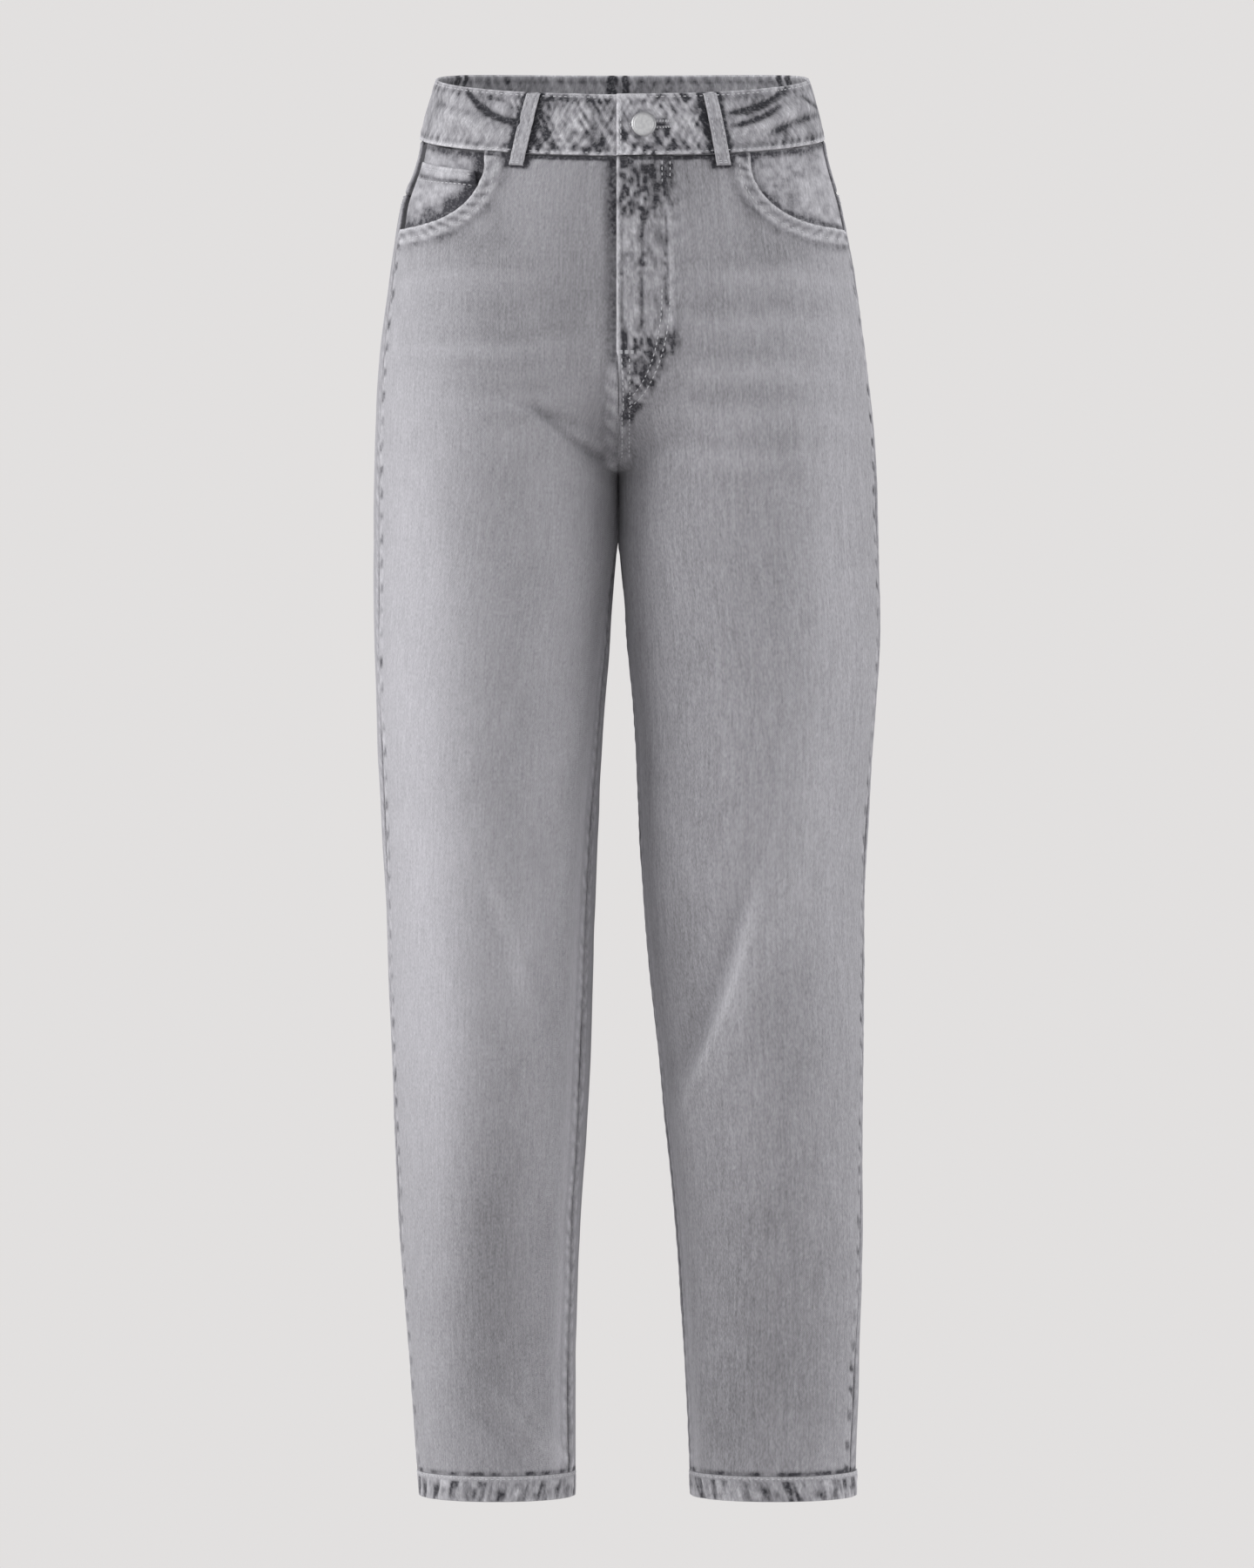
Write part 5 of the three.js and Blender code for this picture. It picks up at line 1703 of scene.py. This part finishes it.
for side in ("right", "left"):
    for away in (1.8, 7.8):
        stitch_row(on_front(side), *mouth_path(side, away))
for away in (1.5, 7.0):
    stitch_row(on_front("left"), *fly_path(away))
rise_z = np.linspace(FLY.overlap_end_z - 4, CROTCH_Z + 8, 30)
stitch_row(on_front("left"), 2.2, rise_z)
stitch_row(on_front("left"), 7.6, rise_z)
for row in range(3):
    stitch_row(on_front("left"), np.linspace(0.5, 12, 8), FLY.overlap_end_z + 1 - 0.8 * row)
sew("stitches_fronts")

# %% Sew the waistband and the belt loops
round_waist = np.linspace(BAND_START + 3, BAND_END - 3, 900)
stitch_row(on(band_at), round_waist, BAND.height - 2.4)
stitch_row(on(band_at), round_waist, 2.4)
stitch_row(on(band_at), BAND_START + 3, np.linspace(3, BAND.height - 3, 30))
for name in LOOP_PLACES:
    for aside in (-3.1, 3.1):
        stitch_row(on(loop_at, name), aside, np.linspace(0.05, 0.95, 40))
    for along in (0.035, 0.06, 0.945, 0.97):
        stitch_row(on(loop_at, name), np.linspace(-3.6, 3.6, 8), along)
sew("stitches_waist")

# %% Sew round the buttonhole
RAYS = SimpleNamespace(count=36, start=1.3, length=2.6)
half_way = BAND.height / 2
for ray in range(RAYS.count):
    turn = 2 * math.pi * (ray + 0.5) / RAYS.count
    foot = BUTTONHOLE.middle + BUTTONHOLE.half * 1.15 * math.cos(turn)
    reach = np.linspace(RAYS.start, RAYS.start + RAYS.length, 4)
    lean = math.atan2(math.sin(turn), 0.35 * math.cos(turn))
    stitch_row(on(band_at), foot + reach * math.cos(lean), half_way + reach * math.sin(lean))
sew("stitches_buttonhole")

# %% Sew the backs, the yokes and the pockets
u = np.linspace(0.02, 0.985, 160)
for side in ("right", "left"):
    for away in (2.0, 7.0):
        angle, z = settled(across_back(side, u), lambda at: yoke_line(side, at, 1 - u) - away, u.shape)
        stitch_row(on(back_at, side), angle, z)
    t = np.linspace(0.02, 0.98, 90)
    for in_from in (2.0, 8.0):
        shift = in_from / BACK_POCKET.width
        down = 1 - in_from / BACK_POCKET.height
        stitch_row(on(back_pocket_at, side), shift, t * down)
        stitch_row(on(back_pocket_at, side), 1 - shift, t * down)
        stitch_row(on(back_pocket_at, side), shift + t * (1 - 2 * shift), down)
    stitch_row(on(back_pocket_at, side), t, 20 / BACK_POCKET.height)
rise_z = np.linspace(-78, CROTCH_Z + 8, 80)
for across in (2.0, 7.5):
    stitch_row(on(back_at, "left"), angle_across("left", rise_z, across, 1), rise_z)
angle, z = behind_mouth("right", COIN_POCKET)
for row in (3, 10):
    stitch_row(on(coin_pocket_at), angle[row, 2:-2], z[row, 2:-2])
sew("stitches_backs_and_pockets")

# %% Sew the hems
for side in ("right", "left"):
    angle = np.linspace(-np.pi, np.pi, 500)
    stitch_row(on(hem_at, side), angle, HEM_TOP - 1.9)
sew("stitches_hems")

# %% [markdown]
# ## Button
# The button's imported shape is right: a shank, a domed cap and a rim. It keeps its solid and only gets the
# metal.

# %% Finish the button
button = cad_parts["button"]
button_middle = waist_point(BUTTON.at, BUTTON.half_way, 0) * MM
for entry in button.material_slots:
    entry.material = button_metal(tuple(button_middle))
print("button finished:", button.name)

# %% [markdown]
# ## Light and floor
# The photograph has soft light from both sides, stronger from the left, and a pale wall that it hardly
# shades. A world colour gives that wall exactly, because only rays that go straight from the camera see it.
# The floor is low, out of the picture.

# %% World, lights and floor
WALL_COLOUR = (0.76, 0.745, 0.74)
world = bpy.data.worlds.new("studio")
bpy.context.scene.world = world
world.use_nodes = True
n = Nodes(world.node_tree)
n.tree.nodes.clear()
light_path = n.add("ShaderNodeLightPath")
seen = n.add("ShaderNodeBackground")
seen.inputs["Color"].default_value = (*WALL_COLOUR, 1)
around = n.add("ShaderNodeBackground")
around.inputs["Color"].default_value = (0.8, 0.8, 0.82, 1)
around.inputs["Strength"].default_value = 0.8
both = n.add("ShaderNodeMixShader")
n.join(light_path.outputs["Is Camera Ray"], both.inputs[0])
n.join(around.outputs[0], both.inputs[1])
n.join(seen.outputs[0], both.inputs[2])
n.join(both.outputs[0], n.add("ShaderNodeOutputWorld").inputs["Surface"])


LIGHT_COLUMNS = ("name", "place", "size", "power")
LIGHTS = (
    ("key", (-3.3, -0.9, 0.9), (1.8, 2.4), 84),
    ("fill", (3.3, -0.9, 0.3), (1.8, 2.4), 46),
    ("behind", (0.8, 2.6, 1.2), (2.0, 2.0), 14),
)
LIT_PLACE = (0.0, 0.0, -0.45)
for row in named_rows(LIGHT_COLUMNS, LIGHTS):
    data = bpy.data.lights.new(row.name, "AREA")
    data.shape = "RECTANGLE"
    data.size, data.size_y = row.size
    data.energy = row.power
    light = bpy.data.objects.new(row.name, data)
    light.location = row.place
    away = np.array(row.place) - np.array(LIT_PLACE)
    level_way = math.hypot(away[0], away[1])
    light.rotation_euler = (math.atan2(level_way, away[2]), 0, math.atan2(away[0], -away[1]))
    bpy.context.scene.collection.objects.link(light)

FLOOR = SimpleNamespace(left=-3.0, right=3.0, front=-3.0, back=1.5, z=-1.25)
floor_mesh = bpy.data.meshes.new("floor")
floor_corners = [
    (FLOOR.left, FLOOR.front, FLOOR.z),
    (FLOOR.right, FLOOR.front, FLOOR.z),
    (FLOOR.right, FLOOR.back, FLOOR.z),
    (FLOOR.left, FLOOR.back, FLOOR.z),
]
floor_mesh.from_pydata(floor_corners, [], [(0, 1, 2, 3)])
floor = bpy.data.objects.new("floor", floor_mesh)
bpy.context.scene.collection.objects.link(floor)
floor_finish = bpy.data.materials.new("Pale floor")
floor_finish.use_nodes = True
floor_shader = floor_finish.node_tree.nodes["Principled BSDF"]
floor_shader.inputs["Base Color"].default_value = (*WALL_COLOUR, 1)
floor_shader.inputs["Roughness"].default_value = 0.9
floor_mesh.materials.append(floor_finish)
bpy.context.scene.view_settings.view_transform = "Standard"
print("lights and floor made")
